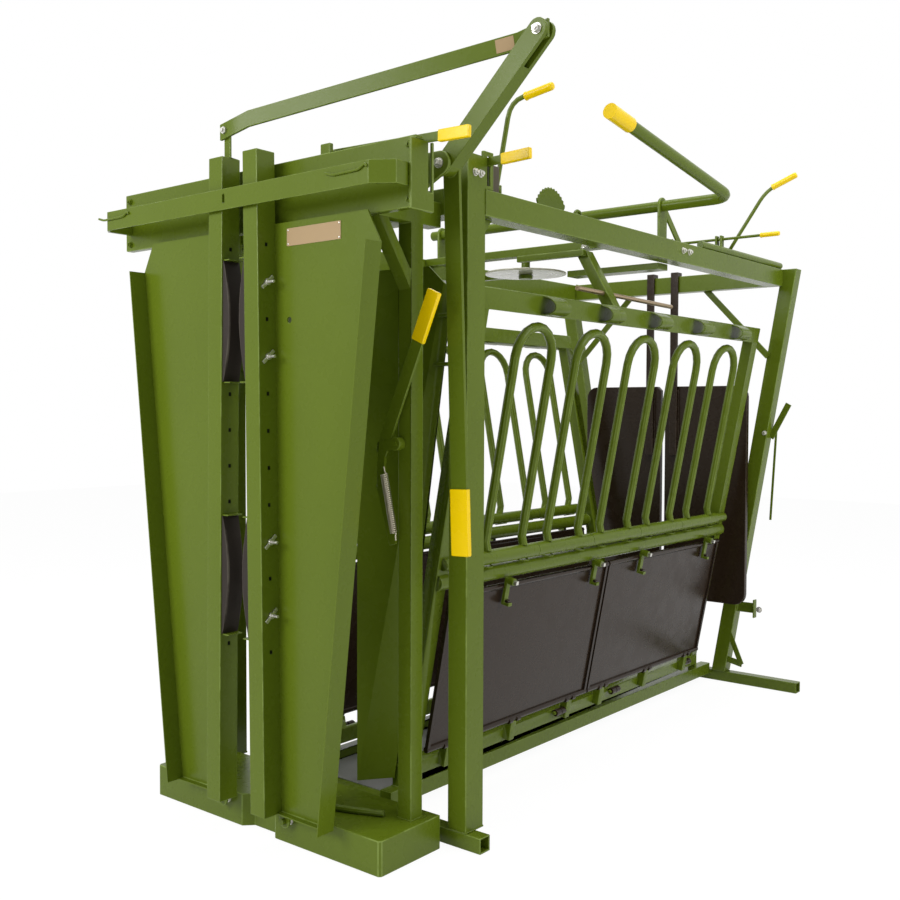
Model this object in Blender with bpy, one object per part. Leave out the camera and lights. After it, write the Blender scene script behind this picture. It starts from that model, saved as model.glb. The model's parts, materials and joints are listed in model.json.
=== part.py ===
"""Cattle squeeze chute: scissor headgate, two squeeze sides with drop hoops and panels, tailgate.

X runs across the chute (+X is the operator's side, called near), Y runs from the headgate to
the tail, Z is up.  Every Y below is measured from the front edge of the headgate base; the last
lines move the whole model so that its origin is on the ground under the middle of that base.
"""

import math

import bmesh
import bpy
from mathutils import Matrix, Vector

# ---- driving dimensions, metres -------------------------------------------------------------
GAP = 0.0003                 # between pieces that touch
RUN = 0.004                  # between pieces that move past each other

CHUTE_LENGTH = 2.745         # front edge of the base to the rear end of the top beams
BEAM_OUTER_X = 0.601         # outer faces of the top beams and main posts
BEAM_WIDTH = 0.072
BEAM_HEIGHT = 0.081
BEAM_TOP_Z = 2.033

BASE_WIDTH = 1.064
BASE_DEPTH = 0.272
BASE_HEIGHT = 0.106
NOTCH_HALF_WIDTH = 0.05
NOTCH_DEPTH = 0.03

MAIN_POST_Y = 0.311
MAIN_POST_DEPTH = 0.086
MAIN_POST_TOP_Z = BEAM_TOP_Z + 0.097
FOOT_SIZE = 0.050
FOOT_WALL = 0.005
FRONT_FOOT_HALF = 0.658
REAR_FOOT_HALF = 0.692

SHIELD_SHEET = 0.005
SHIELD_INNER_X = 0.139
SHIELD_INNER_Y = 0.310
SHIELD_OUTER_Y = 0.410
SHIELD_FOOT_X = 0.215
SHIELD_FOOT_Z = 0.115
SHIELD_HEAD = (0.425, BEAM_TOP_Z - 0.271)
SHIELD_TOP = (0.378, BEAM_TOP_Z - 0.218)
SHIELD_FLANGE = (0.024, 0.014)
SHIELD_FLANGE_RISE = 0.160
SHIELD_TAB_Z = (BEAM_TOP_Z - 0.533, BEAM_TOP_Z - 0.378)

GATE_POST_SIZE = 0.054
GATE_POST_X = 0.470
GATE_POST_Y = 0.201
GATE_ARM_TOP_Z = BEAM_TOP_Z - 0.043

RAIL_PLATE_Y = 0.0
RAIL_PLATE_THICK = 0.030
RAIL_PLATE_HALF = 0.700
RAIL_PLATE_Z = (BEAM_TOP_Z - 0.120, BEAM_TOP_Z + 0.077)
FRONT_RAIL_Y = -0.120
FRONT_RAIL_THICK = 0.012
FRONT_RAIL_HALF = 0.675
FRONT_RAIL_Z = (BEAM_TOP_Z - 0.066, BEAM_TOP_Z - 0.002)

DOOR_PIVOT_X = 0.150
DOOR_PIVOT_Z = 0.080
DOOR_PIN_R = 0.009
DOOR_TUBE_WIDTH = 0.065
DOOR_TUBE_Y = (-0.095, -0.024)
DOOR_TUBE_FOOT = (0.107, 0.105)
DOOR_TUBE_HEAD = (0.080, BEAM_TOP_Z + 0.105)
DOOR_SHEET = 0.004
DOOR_FLANGE = 0.062
WING_TOP = (0.505, BEAM_TOP_Z - 0.113)
WING_SHOULDER = (0.556, BEAM_TOP_Z - 0.209)
WING_FOOT = (0.362, 0.103)
PAD_DEPTH = 0.030
PAD_SPANS = ((0.646, 1.020), (BEAM_TOP_Z - 0.593, BEAM_TOP_Z - 0.217))

LEVER_PIVOT = (0.605, BEAM_TOP_Z + 0.037)
LEVER_TIP = (0.935, BEAM_TOP_Z + 0.355)
LEVER_FOOT = (0.645, 0.925)
LEVER_Y = (0.186, 0.236)
LEVER_PIN_R = 0.014
LEVER_BAR = 0.058
LEVER_BAR_THICK = 0.012
LEVER_GRIP_LENGTH = 0.195
LINK_HEIGHT = 0.049
LINK_THICK = 0.010
LINK_PIN = (-0.062, BEAM_TOP_Z + 0.189)
LINK_PIN_Y = -0.060
LINK_PIN_R = 0.009

SIDE_HINGE_X = 0.2175
SIDE_HINGE_Z = 0.1315
SIDE_LEAN = math.radians(10.9)
SIDE_Y = (0.440, CHUTE_LENGTH - 0.145)
SIDE_TUBE = 0.050
SIDE_RAIL_HEIGHT = 0.070
SIDE_TOP = BEAM_TOP_Z - 0.385
SIDE_BOTTOM_WALL = 0.006
SIDE_POST_WIDTH = 0.060
HINGE_PIN_CLEARANCE = 0.0006

SLEEVE_W = 0.733
SLEEVE_U = 0.030
SLEEVE_R = 0.026
SLEEVE_BORE = 0.0215
SLEEVE_ROD = 0.0205
PIPE_R = 0.028
PIPE_DROP = 0.064
HOOP_COUNT = 5
HOOP_PITCH = (CHUTE_LENGTH - 0.870) / HOOP_COUNT
HOOP_FIRST_Y = 0.800
HOOP_HALF_WIDTH = 0.108
HOOP_ROD_R = 0.0165
HOOP_SET_IN = 0.013           # bars sit this far inside their sleeves
HOOP_SET_HEIGHT = 0.055
HOOP_HEADROOM = 0.018
HOOD_LENGTH = 0.095
HOOD_PROUD = 0.062
HOOD_SHEET = 0.004

PANEL_W = (0.075, 0.622)
PANEL_U = 0.044
PANEL_SHEET = 0.005
PANEL_LIP_R = 0.011
PANEL_EDGE = 0.010
PANEL_GAP = 0.012
LATCH_WIDTH = 0.020
LATCH_FROM_ENDS = {"front": (0.294, 0.127), "rear": (0.239, 0.165)}

TUBE_R = 0.021
TUBE_CLEARANCE = 0.0008
TUBE_Y = 1.600
TUBE_Z = BEAM_TOP_Z + 0.132
TUBE_END_X = 0.850
TUBE_TIP = (TUBE_END_X, 0.720, BEAM_TOP_Z + 0.262)
TUBE_GRIP_R = 0.0255
TUBE_GRIP_LENGTH = 0.120
BRACKET_SHEET = 0.010

DISC_Y = 1.467
DISC_R = 0.170
DISC_Z = (BEAM_TOP_Z - 0.108, BEAM_TOP_Z - 0.100)
DISC_PIN_R = 0.018
CARRIER_DEPTH = 0.060
LINK_ARM_OFFSET = 0.157
ARM_PIN_X = 0.390
ARM_PIN_Z = BEAM_TOP_Z - 0.075
ARM_WIDTH = 0.050
ARM_DEPTH = 0.044
EQ_LINK_SIZE = 0.024

REAR_POST_Y = (CHUTE_LENGTH + GAP, CHUTE_LENGTH + 0.065)
REAR_POST_WIDTH = 0.070
REAR_POST_FOOT_X = 0.328
REAR_POST_HEAD_X = 0.666
CROSS_DEPTH = 0.060

FLOOR_RAIL_X = (0.195, 0.245)
FLOOR_RAIL_Z = (0.030, 0.083)
FLOOR_SHEET = 0.005

TAIL_PANEL_Y = (CHUTE_LENGTH - 0.055, CHUTE_LENGTH - 0.029)
TAIL_PANEL_X = (0.012, 0.452)
TAIL_PANEL_Z = (0.405, 1.480)
TAIL_CORNER_R = 0.055
TAIL_HANGER = 0.040
BENT_LEVER_X = 0.545
TAIL_LEVER_REACH = ((0.175, 0.252), (0.305, 0.302))
SIDE_LEVER_REACH = ((0.061, 0.266), (0.217, 0.285))
TAIL_LEVER_Y = CHUTE_LENGTH - 0.495
SIDE_LEVER_Y = 0.520
SMALL_ROD_R = 0.008
PULL_ROD_R = 0.006
PULL_ROD_Y = CHUTE_LENGTH - 0.585
PULL_ROD_Z = BEAM_TOP_Z + 0.073
GUIDE_PIPE_R = 0.016

LOCK_BAR = (0.010, 0.026)
LOCK_PIN_R = 0.007
GATE_LOCK_Y = 0.060
GATE_LOCK_START = (0.300, BEAM_TOP_Z + 0.089)
GATE_LOCK_END = (0.802, BEAM_TOP_Z + 0.075)
SQUEEZE_LOCK_Y = 0.419
SQUEEZE_LOCK_START = (0.250, BEAM_TOP_Z + 0.075)
SQUEEZE_LOCK_END = (0.752, BEAM_TOP_Z + 0.091)

RELEASE_PIVOT = (0.455, 1.252)
RELEASE_Y = (0.148, 0.158)
RELEASE_PIN_R = 0.008
BASE_PIPE_R = 0.010

STOP_BLOCK = (0.034, 0.040, 0.085)

ROUND = 24                   # facets of a part that turns in or on another
ROD = 12                     # facets of plain rods

# ---- colours ---------------------------------------------------------------------------------
GREEN = ("painted_green", (0.110, 0.190, 0.028), 0.42, 0.0)
YELLOW = ("vinyl_yellow", (1.000, 0.620, 0.000), 0.45, 0.0)
BLACK = ("gloss_black_brown", (0.050, 0.036, 0.026), 0.35, 0.0)
RUBBER = ("black_rubber", (0.055, 0.044, 0.040), 0.75, 0.0)
GALVANISED = ("galvanised_sheet", (0.560, 0.570, 0.580), 0.45, 0.9)


def material(finish):
    """The shared Principled material of one finish."""
    name, colour, roughness, metallic = finish
    made = bpy.data.materials.get(name)
    if made is None:
        made = bpy.data.materials.new(name)
        made.use_nodes = True
        shader = made.node_tree.nodes["Principled BSDF"]
        shader.inputs["Base Color"].default_value = (*colour, 1.0)
        shader.inputs["Roughness"].default_value = roughness
        shader.inputs["Metallic"].default_value = metallic
    return made


# ---- closed solids ---------------------------------------------------------------------------
def solid(bm):
    """A linked object from a closed bmesh, faces turned outwards."""
    bmesh.ops.recalc_face_normals(bm, faces=bm.faces)
    mesh = bpy.data.meshes.new("solid")
    bm.to_mesh(mesh)
    bm.free()
    made = bpy.data.objects.new("solid", mesh)
    bpy.context.scene.collection.objects.link(made)
    return made


def block(low, high):
    """A box between two corners, given in any order."""
    bm = bmesh.new()
    bmesh.ops.create_cube(bm, size=1.0)
    middle = [(a + b) / 2 for a, b in zip(low, high)]
    size = [abs(b - a) for a, b in zip(low, high)]
    bmesh.ops.transform(bm, matrix=Matrix.Translation(middle) @ Matrix.Diagonal((*size, 1.0)),
                        verts=bm.verts)
    return solid(bm)


def place(axis, along, a, b):
    """A point whose section coordinates are (a, b): XZ for axis y, YZ for axis x, XY for z."""
    if axis == "y":
        return Vector((a, along, b))
    if axis == "x":
        return Vector((along, a, b))
    return Vector((a, b, along))


def prism(axis, outline, start, end):
    """An outline extruded along an axis."""
    bm = bmesh.new()
    rings = [[bm.verts.new(place(axis, along, a, b)) for a, b in outline] for along in (start, end)]
    count = len(outline)
    for ring in rings:
        bm.faces.new(ring)
    for i in range(count):
        j = (i + 1) % count
        bm.faces.new((rings[0][i], rings[0][j], rings[1][j], rings[1][i]))
    return solid(bm)


def ring_prism(axis, outer, inner, start, end):
    """A tube: an outline with a matching hole, open at both ends."""
    bm = bmesh.new()
    grid = []
    for along in (start, end):
        for outline in (outer, inner):
            grid.append([bm.verts.new(place(axis, along, a, b)) for a, b in outline])
    count = len(outer)
    for first, second in ((0, 2), (2, 3), (3, 1), (1, 0)):
        for i in range(count):
            j = (i + 1) % count
            bm.faces.new((grid[first][i], grid[first][j], grid[second][j], grid[second][i]))
    return solid(bm)


def rectangle(low, high):
    """The corners of a rectangle."""
    return [(low[0], low[1]), (high[0], low[1]), (high[0], high[1]), (low[0], high[1])]


def circle(centre, radius, facets, turn=0.0):
    """Points on a circle."""
    points = []
    for i in range(facets):
        angle = turn + math.tau * i / facets
        points.append((centre[0] + radius * math.cos(angle), centre[1] + radius * math.sin(angle)))
    return points


def arc(centre, radius, start, end, steps):
    """Points on an arc, angles in degrees, both ends included."""
    points = []
    for i in range(steps + 1):
        angle = math.radians(start + (end - start) * i / steps)
        points.append((centre[0] + radius * math.cos(angle), centre[1] + radius * math.sin(angle)))
    return points


def round_bar(axis, centre, radius, start, end, facets=ROD):
    """A round bar along an axis."""
    return prism(axis, circle(centre, radius, facets), start, end)


def bar_outline(start, end, width):
    """A straight flat bar between two points, its ends square."""
    along = Vector((end[0] - start[0], end[1] - start[1])).normalized()
    across = Vector((-along.y, along.x)) * width / 2
    corners = []
    for point, sign in ((start, 1), (start, -1), (end, -1), (end, 1)):
        corners.append((point[0] + sign * across.x, point[1] + sign * across.y))
    return corners


def rounded_path(points, radius, steps):
    """A path through the points, each corner replaced by an arc-like curve."""
    path = [Vector(points[0])]
    for before, corner, after in zip(points, points[1:], points[2:]):
        corner = Vector(corner)
        inward = (Vector(before) - corner).normalized()
        outward = (Vector(after) - corner).normalized()
        start = corner + inward * radius
        end = corner + outward * radius
        for i in range(steps + 1):
            t = i / steps
            path.append((1 - t) ** 2 * start + 2 * t * (1 - t) * corner + t ** 2 * end)
    path.append(Vector(points[-1]))
    return path


def rod(path, radius, facets=ROD):
    """A round bar swept along a path."""
    bm = bmesh.new()
    rings = []
    side = None
    for i, point in enumerate(path):
        before = path[max(i - 1, 0)]
        after = path[min(i + 1, len(path) - 1)]
        tangent = (after - before).normalized()
        if side is None:
            side = tangent.orthogonal().normalized()
        side = (side - tangent * side.dot(tangent)).normalized()
        up = tangent.cross(side)
        ring = []
        for k in range(facets):
            angle = math.tau * k / facets
            offset = side * math.cos(angle) + up * math.sin(angle)
            ring.append(bm.verts.new(point + offset * radius))
        rings.append(ring)
    for first, second in zip(rings, rings[1:]):
        for k in range(facets):
            n = (k + 1) % facets
            bm.faces.new((first[k], first[n], second[n], second[k]))
    bm.faces.new(rings[0])
    bm.faces.new(rings[-1])
    return solid(bm)


def combine(base, others, operation):
    """Boolean the others into the base, one by one, and remove them."""
    for other in others:
        cut = base.modifiers.new("cut", "BOOLEAN")
        cut.object = other
        cut.operation = operation
        cut.solver = "EXACT"
        bpy.context.view_layer.update()
        result = bpy.data.meshes.new_from_object(
            base.evaluated_get(bpy.context.evaluated_depsgraph_get()))
        base.modifiers.clear()
        base.data = result
        bpy.data.objects.remove(other)
    return base


def fuse(base, *others):
    """One body from overlapping solids."""
    return combine(base, others, "UNION")


def carve(base, *cutters):
    """The base with the cutters taken out."""
    return combine(base, cutters, "DIFFERENCE")


def finish(name, made, look, parent=None, smooth=False):
    """Name a solid, give it its material, and put it under its joint's empty."""
    made.name = name
    made.data.name = name
    made.data.materials.clear()
    made.data.materials.append(material(look))
    if smooth:
        made.data.shade_smooth()
        made.data.set_sharp_from_angle(angle=math.radians(35))
    if parent is not None:
        made.parent = parent
    return made


def joint_empty(name, location, turn_y=0.0, parent=None):
    """An empty on a joint's axis."""
    made = bpy.data.objects.new(name, None)
    made.location = location
    made.rotation_euler = (0.0, turn_y, 0.0)
    bpy.context.scene.collection.objects.link(made)
    if parent is not None:
        made.parent = parent
    return made


def carried(made, empty):
    """Move a solid modelled in world space into the space of an unturned empty."""
    made.data.transform(Matrix.Translation(-empty.location))
    return made


for leftover in list(bpy.data.objects):
    bpy.data.objects.remove(leftover)

SIDES = (("near", 1), ("far", -1))
BEAM_INNER_X = BEAM_OUTER_X - BEAM_WIDTH
BEAM_LOW_Z = BEAM_TOP_Z - BEAM_HEIGHT
MAIN_POST_REAR_Y = MAIN_POST_Y + MAIN_POST_DEPTH


# ---- headgate base and posts -------------------------------------------------------------------
def headgate_base():
    """The hollow-looking step under the headgate, with the pivot pins of the two doors."""
    edge = 0.008
    half = BASE_WIDTH / 2
    outline = [(-half, edge), (-half + edge, 0.0), (-NOTCH_HALF_WIDTH - NOTCH_DEPTH, 0.0),
               (-NOTCH_HALF_WIDTH, NOTCH_DEPTH), (NOTCH_HALF_WIDTH, NOTCH_DEPTH),
               (NOTCH_HALF_WIDTH + NOTCH_DEPTH, 0.0), (half - edge, 0.0), (half, edge),
               (half, BASE_DEPTH), (-half, BASE_DEPTH)]
    base = prism("z", outline, 0.0, BASE_HEIGHT)
    pins = [round_bar("y", (sign * DOOR_PIVOT_X, DOOR_PIVOT_Z), DOOR_PIN_R, -0.036, 0.02, ROUND)
            for _, sign in SIDES]
    finish("headgate_base", fuse(base, *pins), GREEN)


def lever_bracket(inner):
    """The round-ended plate from the near post's arm to the lever's pivot, and its pin."""
    x, z = LEVER_PIVOT
    radius = LEVER_BAR / 2 + 0.007
    back = LEVER_Y[0] - RUN
    low = GATE_ARM_TOP_Z - 0.015
    outline = [(inner + 0.003, low), (GATE_POST_X + 0.027, low)] + arc(LEVER_PIVOT, radius, -75, 90, 12)
    outline += [(inner + 0.003, z + radius)]
    plate = prism("y", outline, back - 0.012, back)
    return plate, round_bar("y", (x, z), LEVER_PIN_R, back - 0.010, LEVER_Y[1] + 0.012, ROUND)


def headgate_post(side, sign):
    """A square post on the base, its knee brace, and the arm that ties it to the main frame."""
    half = GATE_POST_SIZE / 2
    inner = GATE_POST_X - half
    outer = GATE_POST_X + half
    post = block((sign * inner, GATE_POST_Y - half, BASE_HEIGHT + GAP),
                 (sign * outer, GATE_POST_Y + half, RAIL_PLATE_Z[0] + 0.01))
    arm = block((sign * inner, RAIL_PLATE_THICK + GAP, RAIL_PLATE_Z[0]),
                (sign * outer, MAIN_POST_Y - GAP, GATE_ARM_TOP_Z))
    knee = prism("x", [(GATE_POST_Y - half + 0.01, 1.70), (GATE_POST_Y - half + 0.01, 1.76),
                       (0.07, 1.92), (0.03 + GAP, 1.92)], sign * (inner + 0.004), sign * (outer - 0.004))
    body = fuse(post, arm, knee)
    if side == "near":
        front = GATE_POST_Y - half
        release_pin = round_bar("y", RELEASE_PIVOT, RELEASE_PIN_R, RELEASE_Y[0] - 0.006, front + 0.01, ROUND)
        body = fuse(body, release_pin, *lever_bracket(inner))
    finish(f"headgate_post_{side}", body, GREEN)


def rear_rail():
    """The tall plate behind the doors, its slotted end plate, and the pin of the lock lever."""
    back = RAIL_PLATE_Y + RAIL_PLATE_THICK
    plate = block((-RAIL_PLATE_HALF, RAIL_PLATE_Y, RAIL_PLATE_Z[0]),
                  (0.664, back, RAIL_PLATE_Z[1]))
    end_plate = block((0.656, -0.022, RAIL_PLATE_Z[0] - 0.008),
                      (0.666, GATE_LOCK_Y + 0.016, BEAM_TOP_Z + 0.067))
    slot = block((0.64, GATE_LOCK_Y - 0.008, RAIL_PLATE_Z[0] + 0.047),
                 (0.68, GATE_LOCK_Y + 0.008, BEAM_TOP_Z + 0.095))
    lug = block((GATE_LOCK_START[0] - 0.02, RAIL_PLATE_Y + 0.008, RAIL_PLATE_Z[1] - 0.01),
                (GATE_LOCK_START[0] + 0.02, RAIL_PLATE_Y + 0.024, GATE_LOCK_START[1] + 0.02))
    lock_pin = round_bar("y", GATE_LOCK_START, LOCK_PIN_R, RAIL_PLATE_Y + 0.012, GATE_LOCK_Y + 0.009, ROUND)
    body = fuse(plate, end_plate, lug, lock_pin)
    finish("rear_rail", carve(body, slot), GREEN)


def front_rail():
    """The flat bar in front of the doors; its ends bend back to the rear rail."""
    t = FRONT_RAIL_THICK
    y = FRONT_RAIL_Y
    back = RAIL_PLATE_Y - GAP
    right = 0.6555
    left = -FRONT_RAIL_HALF
    outer = [(left, back), (left, y + 0.03), (left + 0.03, y), (right - 0.065, y),
             (right - GAP, y + 0.05), (right - GAP, back)]
    inner = [(right - GAP - t, back), (right - GAP - t, y + 0.055), (right - 0.07, y + t),
             (left + 0.035, y + t), (left + t, y + 0.035), (left + t, back)]
    finish("front_rail", prism("z", outer + inner, *FRONT_RAIL_Z), GREEN)


# ---- main frame -----------------------------------------------------------------------------
def shield(sign):
    """The sheet that closes the corner between the doors and a side: a funnel with a bent edge."""
    foot_z = SHIELD_FOOT_Z
    head_x, head_z = SHIELD_HEAD
    top_x, top_z = SHIELD_TOP
    flange_x, flange_y = SHIELD_FLANGE
    span = (top_x - SHIELD_INNER_X) / (head_x - SHIELD_INNER_X)
    top_y = SHIELD_INNER_Y + span * (SHIELD_OUTER_Y - SHIELD_INNER_Y)
    front = [(SHIELD_INNER_X, SHIELD_INNER_Y, foot_z),
             (SHIELD_FOOT_X, SHIELD_OUTER_Y, foot_z),
             (SHIELD_FOOT_X + flange_x, SHIELD_OUTER_Y + flange_y, foot_z + SHIELD_FLANGE_RISE),
             (head_x + flange_x, SHIELD_OUTER_Y + flange_y, head_z - flange_x),
             (head_x, SHIELD_OUTER_Y, head_z),
             (top_x, top_y, top_z),
             (SHIELD_INNER_X, SHIELD_INNER_Y, top_z - 0.010)]
    bm = bmesh.new()
    near = [bm.verts.new((sign * x, y, z)) for x, y, z in front]
    back = [bm.verts.new((sign * x, y + SHIELD_SHEET, z)) for x, y, z in front]
    for ring in (near, back):
        for a, b, c in ((0, 1, 4), (0, 4, 5), (0, 5, 6), (1, 2, 3), (1, 3, 4)):
            bm.faces.new((ring[a], ring[b], ring[c]))
    for i in range(len(front)):
        j = (i + 1) % len(front)
        bm.faces.new((near[i], near[j], back[j], back[i]))
    return solid(bm)


def shield_tab(sign, z):
    """A short plate that holds the shield to the inner face of its main post."""
    rise = (z - SHIELD_FOOT_Z) / (SHIELD_HEAD[1] - SHIELD_FOOT_Z)
    edge_x = SHIELD_FOOT_X + rise * (SHIELD_HEAD[0] - SHIELD_FOOT_X) + SHIELD_FLANGE[0] / 2
    return block((sign * edge_x, MAIN_POST_REAR_Y - 0.014, z - 0.006),
                 (sign * (BEAM_INNER_X + 0.003), SHIELD_OUTER_Y + SHIELD_FLANGE[1] / 2, z + 0.006))


def main_post(side, sign):
    """A front post with its slotted guide plate behind the top and the shield beside it."""
    post = block((sign * BEAM_INNER_X, MAIN_POST_Y, FOOT_SIZE + GAP),
                 (sign * BEAM_OUTER_X, MAIN_POST_REAR_Y, MAIN_POST_TOP_Z))
    plate = block((sign * (BEAM_OUTER_X - 0.012), MAIN_POST_REAR_Y - 0.005, BEAM_TOP_Z + 2 * GAP),
                  (sign * (BEAM_OUTER_X - 0.002), MAIN_POST_REAR_Y + 0.045, MAIN_POST_TOP_Z + 0.020))
    slot = block((sign * (BEAM_OUTER_X - 0.02), SQUEEZE_LOCK_Y - 0.008, BEAM_TOP_Z + 0.012),
                 (sign * (BEAM_OUTER_X + 0.01), SQUEEZE_LOCK_Y + 0.008, MAIN_POST_TOP_Z + 0.006))
    tabs = [shield_tab(sign, z) for z in SHIELD_TAB_Z]
    finish(f"main_post_{side}", carve(fuse(post, plate, shield(sign), *tabs), slot), GREEN)


def foot(name, half, y):
    """A square tube along X that a pair of posts stands on, open at both ends."""
    outer = rectangle((y, 0.0), (y + FOOT_SIZE, FOOT_SIZE))
    inner = rectangle((y + FOOT_WALL, FOOT_WALL), (y + FOOT_SIZE - FOOT_WALL, FOOT_SIZE - FOOT_WALL))
    finish(name, ring_prism("x", outer, inner, -half, half), GREEN)


def top_beam(side, sign):
    """A long top beam with its lifting eye and the stand of the squeeze tube."""
    y0 = MAIN_POST_REAR_Y + GAP
    beam = block((sign * BEAM_INNER_X, y0, BEAM_LOW_Z), (sign * BEAM_OUTER_X, CHUTE_LENGTH, BEAM_TOP_Z))
    middle = sign * (BEAM_INNER_X + BEAM_WIDTH / 2)
    eye = rod([Vector((middle, p[0], p[1])) for p in arc((0.98, BEAM_TOP_Z), 0.022, -8, 188, 10)],
              0.006, 8)
    stand_outline = ([(TUBE_Y - 0.032, BEAM_TOP_Z - 0.004), (TUBE_Y + 0.032, BEAM_TOP_Z - 0.004)]
                     + arc((TUBE_Y, TUBE_Z), 0.034, 0, 180, 10))
    x0 = middle - BRACKET_SHEET / 2
    x1 = middle + BRACKET_SHEET / 2
    stand = prism("x", stand_outline, x0, x1)
    bore = round_bar("x", (TUBE_Y, TUBE_Z), TUBE_R + TUBE_CLEARANCE, x0 - 0.01, x1 + 0.01, ROUND)
    brace = prism("x", bar_outline((TUBE_Y + 0.150, BEAM_TOP_Z - 0.002), (TUBE_Y + 0.026, TUBE_Z - 0.02),
                                   0.026),
                  x0, x1)
    pieces = [eye, stand, brace]
    cutters = [bore]
    if side == "near":
        for x in (BEAM_INNER_X + 0.002, BEAM_INNER_X + 0.024):
            pieces.append(block((x, PULL_ROD_Y - 0.014, BEAM_TOP_Z - 0.004),
                                (x + 0.010, PULL_ROD_Y + 0.014, PULL_ROD_Z + 0.016)))
        cutters.append(round_bar("x", (PULL_ROD_Y, PULL_ROD_Z), PULL_ROD_R + 0.0006, 0.4, 0.7, ROUND))
        for y in (SIDE_LEVER_Y, TAIL_LEVER_Y):
            pivot = (BENT_LEVER_X, BEAM_TOP_Z + 0.026)
            pieces.append(block((pivot[0] - 0.014, y + 0.0125, BEAM_TOP_Z - 0.004),
                                (pivot[0] + 0.014, y + 0.0205, pivot[1] + 0.014)))
            pieces.append(round_bar("y", pivot, 0.006, y - 0.012, y + 0.016, ROUND))
    finish(f"top_beam_{side}", carve(fuse(beam, *pieces), *cutters), GREEN)


def cross_beams():
    """The two beams that tie the long beams at the front and at the tail."""
    reach = BEAM_INNER_X - GAP
    beam = block((-reach, MAIN_POST_Y, BEAM_LOW_Z), (reach, MAIN_POST_REAR_Y, BEAM_TOP_Z))
    lug = block((SQUEEZE_LOCK_START[0] - 0.02, MAIN_POST_REAR_Y - 0.026, BEAM_TOP_Z - 0.01),
                (SQUEEZE_LOCK_START[0] + 0.02, MAIN_POST_REAR_Y - 0.010, SQUEEZE_LOCK_START[1] + 0.02))
    lock_pin = round_bar("y", SQUEEZE_LOCK_START, LOCK_PIN_R, MAIN_POST_REAR_Y - 0.02,
                         SQUEEZE_LOCK_Y + 0.009, ROUND)
    finish("front_cross_beam", fuse(beam, lug, lock_pin), GREEN)
    y1 = CHUTE_LENGTH - GAP
    finish("rear_cross_beam", block((-reach, y1 - CROSS_DEPTH, BEAM_LOW_Z), (reach, y1, BEAM_TOP_Z)),
           GREEN)


def disc_carrier():
    """The channel across the beams that the equaliser disc turns under, with its pivot pin."""
    reach = BEAM_INNER_X - GAP
    low = DISC_Z[1] + 2 * RUN + 0.060
    channel = block((-reach, DISC_Y - CARRIER_DEPTH / 2, low),
                    (reach, DISC_Y + CARRIER_DEPTH / 2, BEAM_TOP_Z))
    pin = round_bar("z", (0.0, DISC_Y), DISC_PIN_R, DISC_Z[0] - 0.012, low + 0.01, ROUND)
    head = round_bar("z", (0.0, DISC_Y), DISC_PIN_R + 0.012, DISC_Z[0] - 0.018, DISC_Z[0] - 3 * GAP, ROUND)
    finish("disc_carrier", fuse(channel, pin, head), GREEN)


def rear_post(side, sign):
    """A leaning post from the rear foot to the end of the top beam, with its latch lug."""
    outline = [(sign * REAR_POST_FOOT_X, FOOT_SIZE + GAP),
               (sign * REAR_POST_HEAD_X, BEAM_TOP_Z),
               (sign * (REAR_POST_HEAD_X - REAR_POST_WIDTH), BEAM_TOP_Z),
               (sign * (REAR_POST_FOOT_X - REAR_POST_WIDTH), FOOT_SIZE + GAP)]
    post = prism("y", outline, *REAR_POST_Y)
    lean = (REAR_POST_HEAD_X - REAR_POST_FOOT_X) / (BEAM_TOP_Z - FOOT_SIZE)
    lug_z = 0.385
    lug_x = REAR_POST_FOOT_X + lean * (lug_z - FOOT_SIZE)
    lug = block((sign * (lug_x - 0.02), REAR_POST_Y[0] + 0.02, lug_z - 0.025),
                (sign * (lug_x + 0.095), REAR_POST_Y[0] + 0.028, lug_z + 0.025))
    ear = block((sign * (lug_x + 0.087), REAR_POST_Y[0] - 0.004, lug_z - 0.045),
                (sign * (lug_x + 0.095), REAR_POST_Y[0] + 0.028, lug_z + 0.045))
    finish(f"rear_post_{side}", fuse(post, lug, ear), GREEN)


def floor_frame():
    """The floor sheet between two rails, with the pins that the squeeze sides hinge on."""
    y0 = MAIN_POST_Y + FOOT_SIZE + GAP
    y1 = REAR_POST_Y[0] + 0.007 - GAP
    pieces = []
    for _, sign in SIDES:
        pieces.append(block((sign * FLOOR_RAIL_X[0], y0, FLOOR_RAIL_Z[0]),
                            (sign * FLOOR_RAIL_X[1], y1, FLOOR_RAIL_Z[1])))
        pin_r = SIDE_TUBE / 2 - SIDE_BOTTOM_WALL - HINGE_PIN_CLEARANCE
        for near_y, far_y, pin_end in ((SIDE_Y[0] - 0.020, SIDE_Y[0] - RUN, SIDE_Y[0] + 0.03),
                                       (SIDE_Y[1] + RUN, SIDE_Y[1] + 0.020, SIDE_Y[1] - 0.03)):
            pieces.append(block((sign * (SIDE_HINGE_X - 0.020), near_y, FLOOR_RAIL_Z[1] - 0.004),
                                (sign * (SIDE_HINGE_X + 0.020), far_y, SIDE_HINGE_Z + 0.022)))
            middle = (near_y + far_y) / 2
            pieces.append(round_bar("y", (sign * SIDE_HINGE_X, SIDE_HINGE_Z), pin_r,
                                    middle, pin_end, ROUND))
    sheet = block((-FLOOR_RAIL_X[0] - 0.004, y0 + 0.002, 0.045),
                  (FLOOR_RAIL_X[0] + 0.004, y1 - 0.002, 0.045 + FLOOR_SHEET))
    finish("floor_frame", fuse(sheet, *pieces), GALVANISED)


def stop_block(side, sign):
    """The rubber block behind the guide plate that cushions the side."""
    x1 = BEAM_OUTER_X - 0.014
    y0 = MAIN_POST_REAR_Y + 0.052
    width, depth, height = STOP_BLOCK
    finish(f"stop_block_{side}", block((sign * (x1 - width), y0, BEAM_TOP_Z + GAP),
                                       (sign * x1, y0 + depth, BEAM_TOP_Z + height)), RUBBER)


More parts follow.
